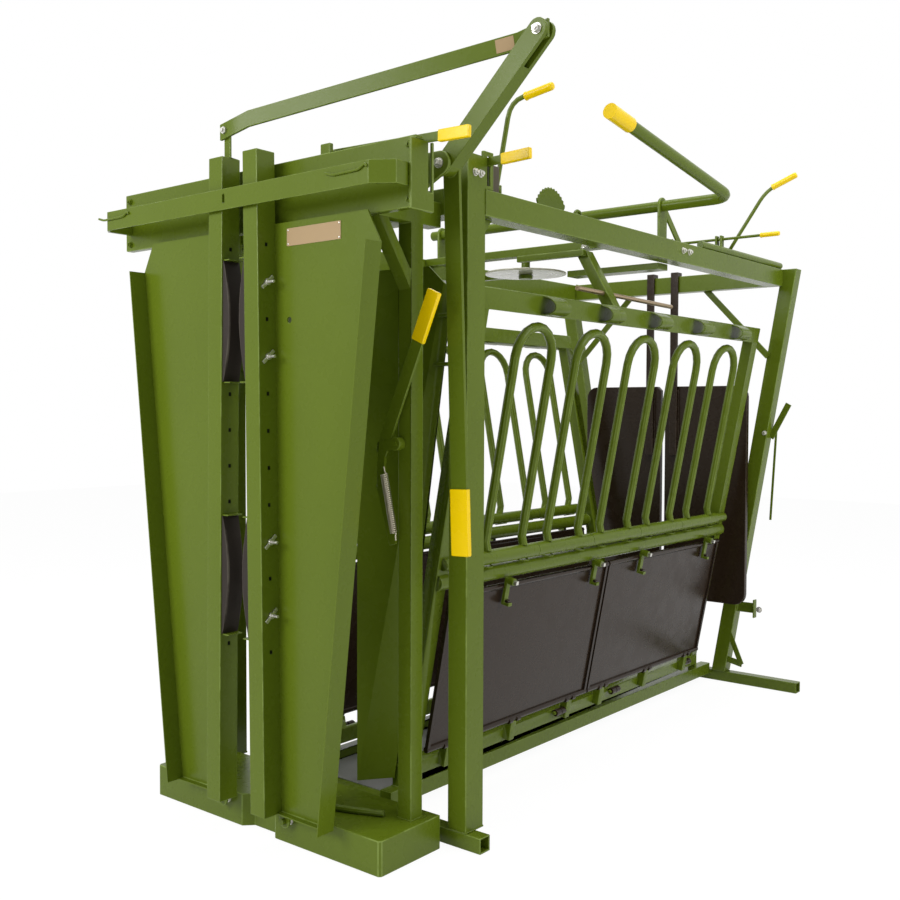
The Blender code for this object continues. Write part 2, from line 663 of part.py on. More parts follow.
# ---- headgate doors --------------------------------------------------------------------------
def door(side, sign, empty):
    """A square tube with holes, a sheet wing folded at its edge, and the pivot lug."""
    half = DOOR_TUBE_WIDTH / 2
    foot_x, foot_z = DOOR_TUBE_FOOT
    head_x, head_z = DOOR_TUBE_HEAD
    outline = [(sign * (foot_x - half), foot_z), (sign * (foot_x + half), foot_z),
               (sign * (head_x + half), head_z), (sign * (head_x - half), head_z)]
    tube = prism("y", outline, *DOOR_TUBE_Y)
    back = DOOR_TUBE_Y[1]
    wing = prism("y", [(sign * foot_x, foot_z), (sign * WING_FOOT[0], WING_FOOT[1]),
                       (sign * WING_SHOULDER[0], WING_SHOULDER[1]), (sign * WING_TOP[0], WING_TOP[1]),
                       (sign * head_x, WING_TOP[1])], back - 0.001, back + DOOR_SHEET)
    front = back - DOOR_FLANGE
    flange = prism("y", bar_outline((sign * (WING_FOOT[0] - 0.002), WING_FOOT[1]),
                                    (sign * (WING_SHOULDER[0] - 0.002), WING_SHOULDER[1]), DOOR_SHEET),
                   front, back + DOOR_SHEET - 0.0005)
    toe = prism("y", bar_outline((sign * (foot_x + half - 0.003), foot_z + 0.002),
                                 (sign * (WING_FOOT[0] - 0.001), WING_FOOT[1] + 0.002), DOOR_SHEET),
                back - 0.022, back + DOOR_SHEET - 0.0007)
    lug_outline = ([(sign * (DOOR_PIVOT_X + 0.022), foot_z + 0.03),
                    (sign * (DOOR_PIVOT_X - 0.022), foot_z + 0.03)]
                   + [(sign * a, b) for a, b in arc((DOOR_PIVOT_X, DOOR_PIVOT_Z), 0.022, 180, 360, 10)])
    lug = prism("y", lug_outline, back - 0.0005, back + DOOR_SHEET + 0.004)
    bore = round_bar("y", (sign * DOOR_PIVOT_X, DOOR_PIVOT_Z), DOOR_PIN_R + 0.0008,
                     back - 0.04, back + 0.04, ROUND)
    body = carve(fuse(tube, wing, flange, toe, lug), bore)
    if side == "far":
        strap = block((LINK_PIN[0] - 0.014, LINK_PIN_Y - 0.004, BEAM_TOP_Z + 0.007),
                      (LINK_PIN[0] + 0.014, LINK_PIN_Y + 0.004, LINK_PIN[1] + 0.022))
        body = fuse(body, strap)
    finish(f"door_{side}", carried(body, empty), GREEN, empty)
    for number, (low, high) in enumerate(PAD_SPANS):
        name = ("lower", "upper")[number]
        finish(f"neck_pad_{side}_{name}", carried(neck_pad(sign, low, high), empty), RUBBER, empty, True)


def tube_inner_x(z):
    """Where the inner face of a door tube is at a height."""
    foot_x, foot_z = DOOR_TUBE_FOOT
    head_x, head_z = DOOR_TUBE_HEAD
    return foot_x + (head_x - foot_x) * (z - foot_z) / (head_z - foot_z) - DOOR_TUBE_WIDTH / 2


def neck_pad(sign, low, high):
    """A curved rubber pad on the inner face of a door tube."""
    middle = (low + high) / 2
    steps = 8
    curve = []
    for i in range(steps + 1):
        z = low + (high - low) * i / steps
        bulge = PAD_DEPTH * (1 - ((z - middle) / (high - low) * 2) ** 2)
        curve.append((sign * (tube_inner_x(z) - 0.004 - bulge), z))
    flat = [(sign * (tube_inner_x(high) - GAP), high), (sign * (tube_inner_x(low) - GAP), low)]
    return prism("y", curve + flat, DOOR_TUBE_Y[0] + 0.004, DOOR_TUBE_Y[1] - 0.004)


# ---- headgate lever ---------------------------------------------------------------------------
def headgate_lever(empty):
    """The long hand lever: a doubled arm above the pivot and a flat bar below it."""
    y0, y1 = LEVER_Y
    arm = prism("y", bar_outline(LEVER_PIVOT, LEVER_TIP, LEVER_BAR), y0, y1)
    boss = round_bar("y", LEVER_PIVOT, LEVER_BAR / 2 + 0.004, y0, y1, ROUND)
    tip = round_bar("y", LEVER_TIP, LEVER_BAR / 2, y0, y1, 16)
    bar_y = y1 - LEVER_BAR_THICK
    bar = prism("y", bar_outline(LEVER_PIVOT, LEVER_FOOT, LEVER_BAR), bar_y, y1)
    bore = round_bar("y", LEVER_PIVOT, LEVER_PIN_R + 0.0008, y0 - 0.01, y1 + 0.01, ROUND)
    fork = block((LEVER_TIP[0] - 0.09, y0 + 0.014, LEVER_TIP[1] - 0.09),
                 (LEVER_TIP[0] + 0.05, y1 - 0.014, LEVER_TIP[1] + 0.06))
    tip_pin = round_bar("y", LEVER_TIP, LINK_PIN_R, y0 + 0.005, y1 - 0.005, ROUND)
    body = fuse(carve(fuse(arm, boss, tip, bar), bore, fork), tip_pin)
    finish("headgate_lever", carried(body, empty), GREEN, empty)
    along = (Vector(LEVER_FOOT) - Vector(LEVER_PIVOT)).normalized()
    start = Vector(LEVER_FOOT) - along * LEVER_GRIP_LENGTH
    end = Vector(LEVER_FOOT) + along * 0.004
    shell = prism("y", bar_outline(start, end, LEVER_BAR + 0.008), bar_y - 0.004, y1 + 0.004)
    pocket = prism("y", bar_outline(start - along * 0.01, Vector(LEVER_FOOT) + along * GAP,
                                    LEVER_BAR + 2 * GAP),
                   bar_y - GAP, y1 + GAP)
    finish("headgate_lever_grip", carried(carve(shell, pocket), empty), YELLOW, empty)


def headgate_link(empty):
    """The flat bar from the lever's tip to the far door, dog-legged at both ends."""
    y_tip = (LEVER_Y[0] + LEVER_Y[1]) / 2
    y_pin = LINK_PIN_Y - 0.004 - LINK_THICK / 2 - GAP
    ends = [(LEVER_TIP[0] + 0.022, y_tip), (LEVER_TIP[0] - 0.080, y_tip),
            (LINK_PIN[0] + 0.110, y_pin), (LINK_PIN[0] - 0.022, y_pin)]
    slope = (LEVER_TIP[1] - LINK_PIN[1]) / (LEVER_TIP[0] - LINK_PIN[0])
    bm = bmesh.new()
    rings = []
    for x, y in ends:
        z = LINK_PIN[1] + slope * (x - LINK_PIN[0])
        rings.append([bm.verts.new((x, y + dy * LINK_THICK / 2, z + dz * LINK_HEIGHT / 2))
                      for dy, dz in ((-1, -1), (1, -1), (1, 1), (-1, 1))])
    for first, second in zip(rings, rings[1:]):
        for k in range(4):
            n = (k + 1) % 4
            bm.faces.new((first[k], first[n], second[n], second[k]))
    bm.faces.new(rings[0])
    bm.faces.new(rings[-1])
    bore = round_bar("y", LEVER_TIP, LINK_PIN_R + 0.0007, y_tip - 0.02, y_tip + 0.02, ROUND)
    finish("headgate_link", carried(carve(solid(bm), bore), empty), GREEN, empty)


# ---- squeeze sides -----------------------------------------------------------------------------
def side_frame(side, sign, empty):
    """One leaning side in its own plane: rails, end posts, pipes, hoods and the squeeze arm.

    In the side's own space Z runs up the side from the hinge and X points outwards.
    """
    t = SIDE_TUBE / 2
    y0, y1 = SIDE_Y
    outer = rectangle((-t, -t), (t, t))
    wall = t - SIDE_BOTTOM_WALL
    inner = rectangle((-wall, -wall), (wall, wall))
    bottom = ring_prism("y", outer, inner, y0, y1)
    low_top = SIDE_TOP - SIDE_RAIL_HEIGHT
    top = block((-t, y0, low_top), (t, y1, SIDE_TOP))
    posts = [block((-t + 0.001, a, t - 0.003), (t - 0.001, b, low_top + 0.01))
             for a, b in ((y0 + 0.001, y0 + SIDE_POST_WIDTH), (y1 - SIDE_POST_WIDTH, y1 - 0.001))]
    core = round_bar("y", (sign * SLEEVE_U, SLEEVE_W), SLEEVE_ROD, y0 + 0.02, y1 - 0.02, ROUND)
    pipe = round_bar("y", (sign * SLEEVE_U * 0.6, SLEEVE_W - PIPE_DROP), PIPE_R, y0 + 0.01, y1 - 0.01, 16)
    pieces = [top, *posts, core, pipe]
    for k in range(HOOP_COUNT):
        pieces.append(hood(sign, t, low_top, HOOP_FIRST_Y + k * HOOP_PITCH))
    pieces.append(squeeze_arm(side, sign))
    seat = PANEL_W[0] - PANEL_LIP_R - GAP
    for start, end in panel_spans():
        for share in (0.12, 0.5, 0.88):
            y = start + (end - start) * share
            pieces.append(block((sign * (t - 0.006), y - 0.016, -0.012),
                                (sign * (PANEL_U + 0.010), y + 0.016, seat)))
    finish(f"side_frame_{side}", fuse(bottom, *pieces), GREEN, empty)


def panel_spans():
    """The start and end of the two drop panels along a side."""
    start = SIDE_Y[0] + SIDE_POST_WIDTH + RUN
    end = SIDE_Y[1] - SIDE_POST_WIDTH - RUN
    middle = (start + end) / 2
    return (start, middle - PANEL_GAP / 2), (middle + PANEL_GAP / 2, end)


def hood(sign, t, low_top, y):
    """A D-shaped sheet hood on the outside of the top rail."""
    middle = low_top + SIDE_RAIL_HEIGHT / 2
    half = SIDE_RAIL_HEIGHT / 2 - 0.002
    steps = 10
    shell = []
    for shrink, order in ((0.0, range(steps + 1)), (HOOD_SHEET, range(steps, -1, -1))):
        for i in order:
            angle = math.radians(-90 + 180 * i / steps)
            shell.append((sign * (t - 0.002 + (HOOD_PROUD - shrink) * math.cos(angle)),
                          middle + (half - shrink) * math.sin(angle)))
    return prism("y", shell, y - 0.012, y - 0.012 + HOOD_LENGTH)


def squeeze_arm(side, sign):
    """The arm from the top rail up to the pin of the equaliser link."""
    y = DISC_Y - sign * LINK_ARM_OFFSET
    foot_point = (sign * -0.006, SIDE_TOP - 0.020)
    rel_x = ARM_PIN_X - SIDE_HINGE_X
    rel_z = ARM_PIN_Z - SIDE_HINGE_Z
    pin = (sign * (rel_x * math.cos(SIDE_LEAN) - rel_z * math.sin(SIDE_LEAN)),
           rel_x * math.sin(SIDE_LEAN) + rel_z * math.cos(SIDE_LEAN))
    return prism("y", bar_outline(foot_point, pin, ARM_DEPTH), y - ARM_WIDTH / 2, y + ARM_WIDTH / 2)


def hoop(side, sign, number, parent):
    """An upside-down U of round bar on its own sleeve."""
    y = HOOP_FIRST_Y + number * HOOP_PITCH
    empty = joint_empty(f"hoop_axis_{side}_{number + 1}", (sign * SLEEVE_U, 0.0, SLEEVE_W), 0.0, parent)
    half_sleeve = HOOP_PITCH / 2 - 0.0015
    sleeve = ring_prism("y", circle((0, 0), SLEEVE_R, ROUND), circle((0, 0), SLEEVE_BORE, ROUND),
                        y - half_sleeve, y + half_sleeve)
    crown = SIDE_TOP - SIDE_RAIL_HEIGHT - SLEEVE_W - RUN - HOOP_ROD_R - HOOP_HEADROOM
    spring_line = crown - HOOP_HALF_WIDTH
    inward = -sign * HOOP_SET_IN
    leg = [(0.0, SLEEVE_R - 0.003), (inward, HOOP_SET_HEIGHT), (inward, spring_line)]
    path = [Vector((x, y - HOOP_HALF_WIDTH, z)) for x, z in leg]
    path += [Vector((inward, y + a, b)) for a, b in arc((0.0, spring_line), HOOP_HALF_WIDTH, 180, 0, 10)][1:]
    path += [Vector((x, y + HOOP_HALF_WIDTH, z)) for x, z in reversed(leg[:-1])]
    bar = rod(path, HOOP_ROD_R, 10)
    finish(f"hoop_{side}_{number + 1}", fuse(sleeve, bar), GREEN, empty, True)


def drop_panel(side, sign, name, y0, y1, parent):
    """A sheet panel with rolled lips and folded ends, and the two latches that hold it."""
    low, high = PANEL_W
    empty = joint_empty(f"panel_axis_{side}_{name}", (sign * PANEL_U, 0.0, low), 0.0, parent)
    height = high - low
    back = -PANEL_SHEET - 0.001
    sheet = block((sign * back, y0, 0.0015), (sign * -0.001, y1, height - 0.0015))
    lips = [round_bar("y", (0.0, z), PANEL_LIP_R, y0 - 0.001, y1 + 0.001, ROD) for z in (0.0, height)]
    edges = [block((sign * (back - 0.001), a, 0.003), (sign * (PANEL_EDGE - 0.003), b, height - 0.003))
             for a, b in ((y0 + 0.0007, y0 + 0.014), (y1 - 0.014, y1 - 0.0007))]
    latches = []
    for start in (y0 + LATCH_FROM_ENDS[name][0], y1 - LATCH_FROM_ENDS[name][1]):
        end = start + LATCH_WIDTH
        latches.append(block((sign * 0.006, start, height - 0.050), (sign * 0.018, end, height + 0.034)))
        latches.append(block((sign * 0.006, start + 0.001, height - 0.056),
                             (sign * 0.034, end - 0.001, height - 0.046)))
    finish(f"drop_panel_{side}_{name}", fuse(sheet, *lips, *edges, *latches), BLACK, empty)


# ---- equaliser and squeeze tube ------------------------------------------------------------------
def equaliser_disc(empty):
    """The disc that turns under the carrier and pulls both links."""
    disc = round_bar("z", (0.0, DISC_Y), DISC_R, *DISC_Z, 32)
    hub = round_bar("z", (0.0, DISC_Y), DISC_PIN_R + 0.014, DISC_Z[0], DISC_Z[1] + 0.020, ROUND)
    bore = round_bar("z", (0.0, DISC_Y), DISC_PIN_R + 0.001, DISC_Z[0] - 0.01, DISC_Z[1] + 0.03, ROUND)
    finish("equaliser_disc", carried(carve(fuse(disc, hub), bore), empty), GREEN, empty)


def equaliser_link(side, sign, empty):
    """A square tube from a side's arm towards the disc."""
    y = DISC_Y - sign * LINK_ARM_OFFSET
    z = ARM_PIN_Z
    half = EQ_LINK_SIZE / 2
    beside = y - sign * (ARM_WIDTH / 2 + GAP + half)
    bar = block((sign * 0.100, beside - half, z - half),
                (sign * (ARM_PIN_X + 0.022), beside + half, z + half))
    finish(f"equaliser_link_{side}", carried(bar, empty), GREEN, empty)


def squeeze_tube(empty):
    """The cross tube that turns in its two stands, bent forwards into a handle with a grip."""
    start = (-BEAM_OUTER_X - 0.02, TUBE_Y, TUBE_Z)
    path = rounded_path([start, (TUBE_END_X, TUBE_Y, TUBE_Z), TUBE_TIP], 0.070, 6)
    finish("squeeze_tube", carried(rod(path, TUBE_R, ROUND), empty), GREEN, empty, True)
    tip = Vector(TUBE_TIP)
    along = (tip - Vector((TUBE_END_X, TUBE_Y, TUBE_Z))).normalized()
    shell = rod([tip - along * TUBE_GRIP_LENGTH, tip + along * 0.006], TUBE_GRIP_R, ROUND)
    pocket = rod([tip - along * (TUBE_GRIP_LENGTH + 0.01), tip + along * 0.001], TUBE_R + 4 * GAP, ROUND)
    finish("squeeze_tube_grip", carried(carve(shell, pocket), empty), YELLOW, empty, True)


# ---- tailgate and small levers -------------------------------------------------------------------
def tail_panel(side, sign, empty):
    """A black sheet with rounded corners that hangs on the rear cross beam."""
    x0, x1 = TAIL_PANEL_X
    z0, z1 = TAIL_PANEL_Z
    r = TAIL_CORNER_R
    outline = [(x0, z0 + 0.02), (x0 + 0.02, z0)]
    outline += arc((x1 - r, z0 + r), r, -90, 0, 5)
    outline += arc((x1 - r, z1 - r), r, 0, 90, 5)
    outline += [(x0 + 0.02, z1), (x0, z1 - 0.02)]
    sheet = prism("y", [(sign * a, b) for a, b in outline], *TAIL_PANEL_Y)
    beam_front = CHUTE_LENGTH - GAP - CROSS_DEPTH
    y0 = beam_front - RUN - 0.012
    hx = x0 + 0.035
    hanger = block((sign * hx, y0, z1 - 0.35),
                   (sign * (hx + TAIL_HANGER), beam_front - RUN, BEAM_TOP_Z + 0.020))
    joiner = block((sign * hx, beam_front - RUN - 0.004, z1 - 0.35),
                   (sign * (hx + TAIL_HANGER), TAIL_PANEL_Y[0] + 0.004, z1 - 0.02))
    hook = block((sign * hx, y0, BEAM_TOP_Z + GAP),
                 (sign * (hx + TAIL_HANGER), beam_front + 0.03, BEAM_TOP_Z + 0.0203))
    finish(f"tail_panel_{side}", carried(fuse(sheet, hanger, joiner, hook), empty), BLACK, empty)


def bent_lever(name, y, reach):
    """A round-rod hand lever with one bend that turns on a pin of the near beam."""
    x = BENT_LEVER_X
    z = BEAM_TOP_Z + 0.026
    empty = joint_empty(f"{name}_axis", (x, y, z))
    (bend_x, bend_z), (tip_x, tip_z) = reach
    path = rounded_path([(x + 0.008, y, z + 0.010), (x + bend_x, y, z + bend_z), (x + tip_x, y, z + tip_z)],
                        0.05, 4)
    boss = round_bar("y", (x, z), 0.015, y - 0.012, y + 0.012, ROUND)
    bore = round_bar("y", (x, z), 0.0066, y - 0.03, y + 0.03, ROUND)
    body = carve(fuse(boss, rod(path, SMALL_ROD_R, 10)), bore)
    finish(name, carried(body, empty), GREEN, empty, True)


def lock_lever(name, start, end, y):
    """A flat hand lever on a pin that pokes out through a slotted plate."""
    empty = joint_empty(f"{name}_axis", (start[0], y, start[1]))
    thick, height = LOCK_BAR
    along = (Vector(end) - Vector(start)).normalized()
    bar = prism("y", bar_outline(Vector(start) - along * 0.018, end, height), y - thick / 2, y + thick / 2)
    bore = round_bar("y", start, LOCK_PIN_R + 0.0006, y - 0.02, y + 0.02, ROUND)
    finish(name, carried(carve(bar, bore), empty), GREEN, empty)


def release_lever():
    """The two-armed lever on the near headgate post and the spring that pulls it back."""
    x, z = RELEASE_PIVOT
    y0, y1 = RELEASE_Y
    empty = joint_empty("release_axis", (x, 0.0, z))
    boss = round_bar("y", (x, z), 0.020, y0 - 0.003, GATE_POST_Y - GATE_POST_SIZE / 2 - GAP, ROUND)
    web = prism("y", bar_outline((x, z), (x - 0.055, z - 0.008), 0.034), y0, y1)
    upper = prism("y", bar_outline((x - 0.062, z - 0.030), (x + 0.148, z + 0.445), 0.042), y0 + 0.001,
                  y1 - 0.001)
    lower = prism("y", bar_outline((x - 0.056, z + 0.004), (x - 0.062, z - 0.140), 0.028), y0 + 0.0005,
                  y1 - 0.0005)
    toe = prism("y", bar_outline((x - 0.066, z - 0.122), (x - 0.012, z - 0.305), 0.026), y0 + 0.0015,
                y1 - 0.0015)
    bore = round_bar("y", (x, z), RELEASE_PIN_R + 0.0006, 0.10, 0.20, ROUND)
    finish("release_lever", carried(carve(fuse(boss, web, upper, lower, toe), bore), empty), GREEN, empty)
    spring_y = y0 + 0.0005 - GAP - 0.008
    spring = rod([Vector((x - 0.056, spring_y, z - 0.085)), Vector((x - 0.008, spring_y, z - 0.275))],
                 0.008, ROD)
    finish("release_spring", carried(spring, empty), GALVANISED, empty, True)


def pull_rod():
    """A straight rod with a hand grip that slides in two guides on the near beam."""
    empty = joint_empty("pull_rod_axis", (0.0, 0.0, 0.0))
    bar = round_bar("x", (PULL_ROD_Y, PULL_ROD_Z), PULL_ROD_R, 0.300, 0.815)
    finish("pull_rod", carried(bar, empty), GREEN, empty, True)


def guide_pipe():
    """The pipe that lies along the rear of the near top beam."""
    bar = round_bar("y", (BEAM_OUTER_X - GUIDE_PIPE_R - 0.001, BEAM_TOP_Z + GUIDE_PIPE_R + GAP),
                    GUIDE_PIPE_R, CHUTE_LENGTH - 0.845,
                    CHUTE_LENGTH - 0.002, 16)
    finish("guide_pipe", bar, GREEN, None, True)


def base_pipe():
    """The bent pipe that lies on the headgate base behind the doors."""
    z = BASE_HEIGHT + BASE_PIPE_R + GAP
    route = [(0.410, 0.150), (0.280, 0.095), (0.020, 0.060), (-0.075, 0.085), (-0.090, 0.190),
             (-0.020, 0.245), (0.060, 0.250)]
    path = rounded_path([(x, y, z) for x, y in route], 0.040, 4)
    finish("base_pipe", rod(path, BASE_PIPE_R, 8), GREEN, None, True)


headgate_base()
foot("front_foot", FRONT_FOOT_HALF, MAIN_POST_Y)
foot("rear_foot", REAR_FOOT_HALF, REAR_POST_Y[0] + 0.007)
rear_rail()
front_rail()
cross_beams()
disc_carrier()
floor_frame()
for side_name, direction in SIDES:
    headgate_post(side_name, direction)
    main_post(side_name, direction)
    top_beam(side_name, direction)
    rear_post(side_name, direction)
    stop_block(side_name, direction)
    door_axis = joint_empty(f"door_axis_{side_name}", (direction * DOOR_PIVOT_X, 0.0, DOOR_PIVOT_Z))
    door(side_name, direction, door_axis)
    side_axis = joint_empty(f"side_axis_{side_name}", (direction * SIDE_HINGE_X, 0.0, SIDE_HINGE_Z),
                            direction * SIDE_LEAN)
    side_frame(side_name, direction, side_axis)
    for index in range(HOOP_COUNT):
        hoop(side_name, direction, index, side_axis)
    for panel_name, span in zip(("front", "rear"), panel_spans()):
        drop_panel(side_name, direction, panel_name, *span, side_axis)
    link_axis = joint_empty(f"link_axis_{side_name}", (direction * ARM_PIN_X, 0.0, ARM_PIN_Z))
    equaliser_link(side_name, direction, link_axis)
    tail_axis = joint_empty(f"tail_axis_{side_name}", (0.0, 0.0, 0.0))
    tail_panel(side_name, direction, tail_axis)

lever_axis = joint_empty("lever_axis", (LEVER_PIVOT[0], 0.0, LEVER_PIVOT[1]))
headgate_lever(lever_axis)
tip_axis = joint_empty("link_tip_axis", (LEVER_TIP[0], 0.0, LEVER_TIP[1]))
headgate_link(tip_axis)
disc_axis = joint_empty("disc_axis", (0.0, DISC_Y, 0.0))
equaliser_disc(disc_axis)
tube_axis = joint_empty("tube_axis", (0.0, TUBE_Y, TUBE_Z))
squeeze_tube(tube_axis)
bent_lever("side_lever", SIDE_LEVER_Y, SIDE_LEVER_REACH)
bent_lever("tail_lever", TAIL_LEVER_Y, TAIL_LEVER_REACH)
lock_lever("headgate_lock_lever", GATE_LOCK_START, GATE_LOCK_END, GATE_LOCK_Y)
lock_lever("squeeze_lock_lever", SQUEEZE_LOCK_START, SQUEEZE_LOCK_END, SQUEEZE_LOCK_Y)
release_lever()
pull_rod()
guide_pipe()
base_pipe()

for made in bpy.data.objects:
    if made.parent is None:
        made.location.y -= BASE_DEPTH / 2
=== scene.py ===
"""Looks of the cattle squeeze chute: welded steel in green enamel, dipped grips, zinc fasteners.

The frame gives every member its place.  Along the chute, sizes are measured from the front edge
of the headgate base, as on a workshop drawing; `shop` turns them into the frame's own space.
"""

import json
import math

import bmesh
import bpy
from mathutils import Euler, Matrix, Vector


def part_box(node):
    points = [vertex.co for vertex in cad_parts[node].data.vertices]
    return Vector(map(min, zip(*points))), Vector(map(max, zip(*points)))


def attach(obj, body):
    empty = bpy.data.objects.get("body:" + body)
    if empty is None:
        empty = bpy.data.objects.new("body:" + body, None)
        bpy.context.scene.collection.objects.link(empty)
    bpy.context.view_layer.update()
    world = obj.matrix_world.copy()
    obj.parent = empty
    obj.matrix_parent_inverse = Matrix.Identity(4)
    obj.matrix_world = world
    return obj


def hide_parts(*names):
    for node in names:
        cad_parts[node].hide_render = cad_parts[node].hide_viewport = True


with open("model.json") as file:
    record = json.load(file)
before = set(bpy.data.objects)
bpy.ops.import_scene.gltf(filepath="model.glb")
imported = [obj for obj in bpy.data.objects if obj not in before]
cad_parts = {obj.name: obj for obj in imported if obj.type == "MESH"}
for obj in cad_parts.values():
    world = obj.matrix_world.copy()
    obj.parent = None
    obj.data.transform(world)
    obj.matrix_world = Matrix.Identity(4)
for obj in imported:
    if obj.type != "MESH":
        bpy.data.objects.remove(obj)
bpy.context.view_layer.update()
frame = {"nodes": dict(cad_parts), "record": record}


# ---- Camera, floor and lights ----------------------------------------------------------------
# A standing viewer's eye off the operator's corner; a white room lit by large soft boxes.
# The room is white where the camera or a reflection looks, and dimmer as a light.

camera_data = bpy.data.cameras.new("camera")
camera_data.lens = 42.53
camera = bpy.data.objects.new("camera", camera_data)
bpy.context.scene.collection.objects.link(camera)
heading, tilt, roll = (math.radians(turn) for turn in (39.19, 87.92, 0.18))
look = Euler((0, 0, heading)).to_matrix() @ Euler((tilt, 0, 0)).to_matrix() @ Euler((0, 0, roll)).to_matrix()
camera.matrix_world = Matrix.Translation((2.598, -2.356, 1.35)) @ look.to_4x4()
bpy.context.scene.camera = camera
bpy.context.scene.view_settings.view_transform = "Standard"


def largest(tree, first, second):
    """The larger of two values."""
    made = tree.nodes.new("ShaderNodeMath")
    made.operation = "MAXIMUM"
    tree.links.new(first, made.inputs[0])
    tree.links.new(second, made.inputs[1])
    return made.outputs[0]


def white_room(tree, lit, glow, output, share):
    """Mix a share of plain white into a lit surface, for camera, glossy and clear rays only."""
    path = tree.nodes.new("ShaderNodeLightPath")
    seen = largest(tree, path.outputs["Is Glossy Ray"], path.outputs["Is Transmission Ray"])
    seen = largest(tree, path.outputs["Is Camera Ray"], seen)
    part = tree.nodes.new("ShaderNodeMath")
    part.operation = "MULTIPLY"
    part.inputs[1].default_value = share
    mix = tree.nodes.new("ShaderNodeMixShader")
    tree.links.new(seen, part.inputs[0])
    tree.links.new(part.outputs[0], mix.inputs["Fac"])
    tree.links.new(lit.outputs[0], mix.inputs[1])
    tree.links.new(glow.outputs[0], mix.inputs[2])
    tree.links.new(mix.outputs[0], output.inputs["Surface"])


world = bpy.data.worlds.new("room")
bpy.context.scene.world = world
world.use_nodes = True
world.node_tree.nodes.clear()
room_light = world.node_tree.nodes.new("ShaderNodeBackground")
room_light.inputs["Color"].default_value = (1.0, 1.0, 1.0, 1)
room_light.inputs["Strength"].default_value = 0.40
room_white = world.node_tree.nodes.new("ShaderNodeBackground")
room_white.inputs["Color"].default_value = (1.0, 1.0, 1.0, 1)
room_out = world.node_tree.nodes.new("ShaderNodeOutputWorld")
white_room(world.node_tree, room_light, room_white, room_out, 1.0)

floor_mesh = bpy.data.meshes.new("studio_floor")
bm = bmesh.new()
bmesh.ops.create_grid(bm, x_segments=1, y_segments=1, size=14)
bm.to_mesh(floor_mesh)
bm.free()
floor = bpy.data.objects.new("studio_floor", floor_mesh)
floor.location.z = -0.001
bpy.context.scene.collection.objects.link(floor)
floor_look = bpy.data.materials.new("studio_floor")
floor_look.use_nodes = True
floor_look.node_tree.nodes.clear()
pale = floor_look.node_tree.nodes.new("ShaderNodeBsdfDiffuse")
pale.inputs["Color"].default_value = (0.92, 0.92, 0.92, 1)
floor_white = floor_look.node_tree.nodes.new("ShaderNodeEmission")
floor_white.inputs["Strength"].default_value = 1.05
floor_out = floor_look.node_tree.nodes.new("ShaderNodeOutputMaterial")
white_room(floor_look.node_tree, pale, floor_white, floor_out, 0.90)
floor.data.materials.append(floor_look)


def soft_box(name, place, target, size, power):
    """A square lamp that faces a point."""
    data = bpy.data.lights.new(name, "AREA")
    data.shape = "SQUARE"
    data.size = size
    data.energy = power
    lamp = bpy.data.objects.new(name, data)
    bpy.context.scene.collection.objects.link(lamp)
    lamp.location = place
    lamp.rotation_euler = (Vector(target) - Vector(place)).to_track_quat("-Z", "Y").to_euler()


soft_box("front_box", (-1.5, -5.0, 3.4), (0, 0.0, 1.1), 2.6, 190)
soft_box("side_box", (5.2, 1.8, 3.6), (0.3, 1.3, 1.0), 2.6, 105)
soft_box("top_box", (0.3, 1.0, 6.0), (0, 1.2, 0), 3.5, 150)


# ---- Green enamel and the welded members -----------------------------------------------------
# Square tube, channel and plate, sprayed after welding.  Each member is the frame's own solid
# with the edges of rolled steel, painted paler there: paint rubbed thin, and a painted highlight where they
# catch the light.

nodes = frame["nodes"]
body_of = {node: body for body, members in frame["record"]["behaviour"]["bodies"].items()
           for node in members}
sides = (("near", 1), ("far", -1))
green = (0.110, 0.158, 0.0085)
# Paler green for rounded edges: paint rubbed thin, and a painted highlight along each edge.
green_worn_glint = (0.230, 0.310, 0.070)


def noise(tree, coords, scale, detail, rough):
    """A noise value on given coordinates."""
    made = tree.nodes.new("ShaderNodeTexNoise")
    made.inputs["Scale"].default_value = scale
    made.inputs["Detail"].default_value = detail
    made.inputs["Roughness"].default_value = rough
    tree.links.new(coords, made.inputs["Vector"])
    return made.outputs["Fac"]


def spread(tree, value, low, high, to_low, to_high):
    """A value mapped from one range to another, clamped."""
    made = tree.nodes.new("ShaderNodeMapRange")
    for name, number in zip(("From Min", "From Max", "To Min", "To Max"), (low, high, to_low, to_high)):
        made.inputs[name].default_value = number
    tree.links.new(value, made.inputs["Value"])
    return made.outputs["Result"]


def product(tree, first, second):
    """Two values multiplied."""
    made = tree.nodes.new("ShaderNodeMath")
    made.operation = "MULTIPLY"
    tree.links.new(first, made.inputs[0])
    tree.links.new(second, made.inputs[1])
    return made.outputs[0]


def tint(tree, factor, first, second):
    """A colour between two colours; each is a colour or a socket."""
    made = tree.nodes.new("ShaderNodeMix")
    made.data_type = "RGBA"
    colours = [socket for socket in made.inputs if socket.type == "RGBA"]
    tree.links.new(factor, made.inputs["Factor"])
    for socket, colour in zip(colours, (first, second)):
        if isinstance(colour, tuple):
            socket.default_value = (*colour, 1)
        else:
            tree.links.new(colour, socket)
    return [socket for socket in made.outputs if socket.type == "RGBA"][0]


def relief(tree, layers):
    """Bumps chained together, each a height, a distance and a strength."""
    last = None
    for height, distance, strength in layers:
        bump = tree.nodes.new("ShaderNodeBump")
        bump.inputs["Distance"].default_value = distance
        bump.inputs["Strength"].default_value = strength
        tree.links.new(height, bump.inputs["Height"])
        if last is not None:
            tree.links.new(last, bump.inputs["Normal"])
        last = bump.outputs["Normal"]
    return last


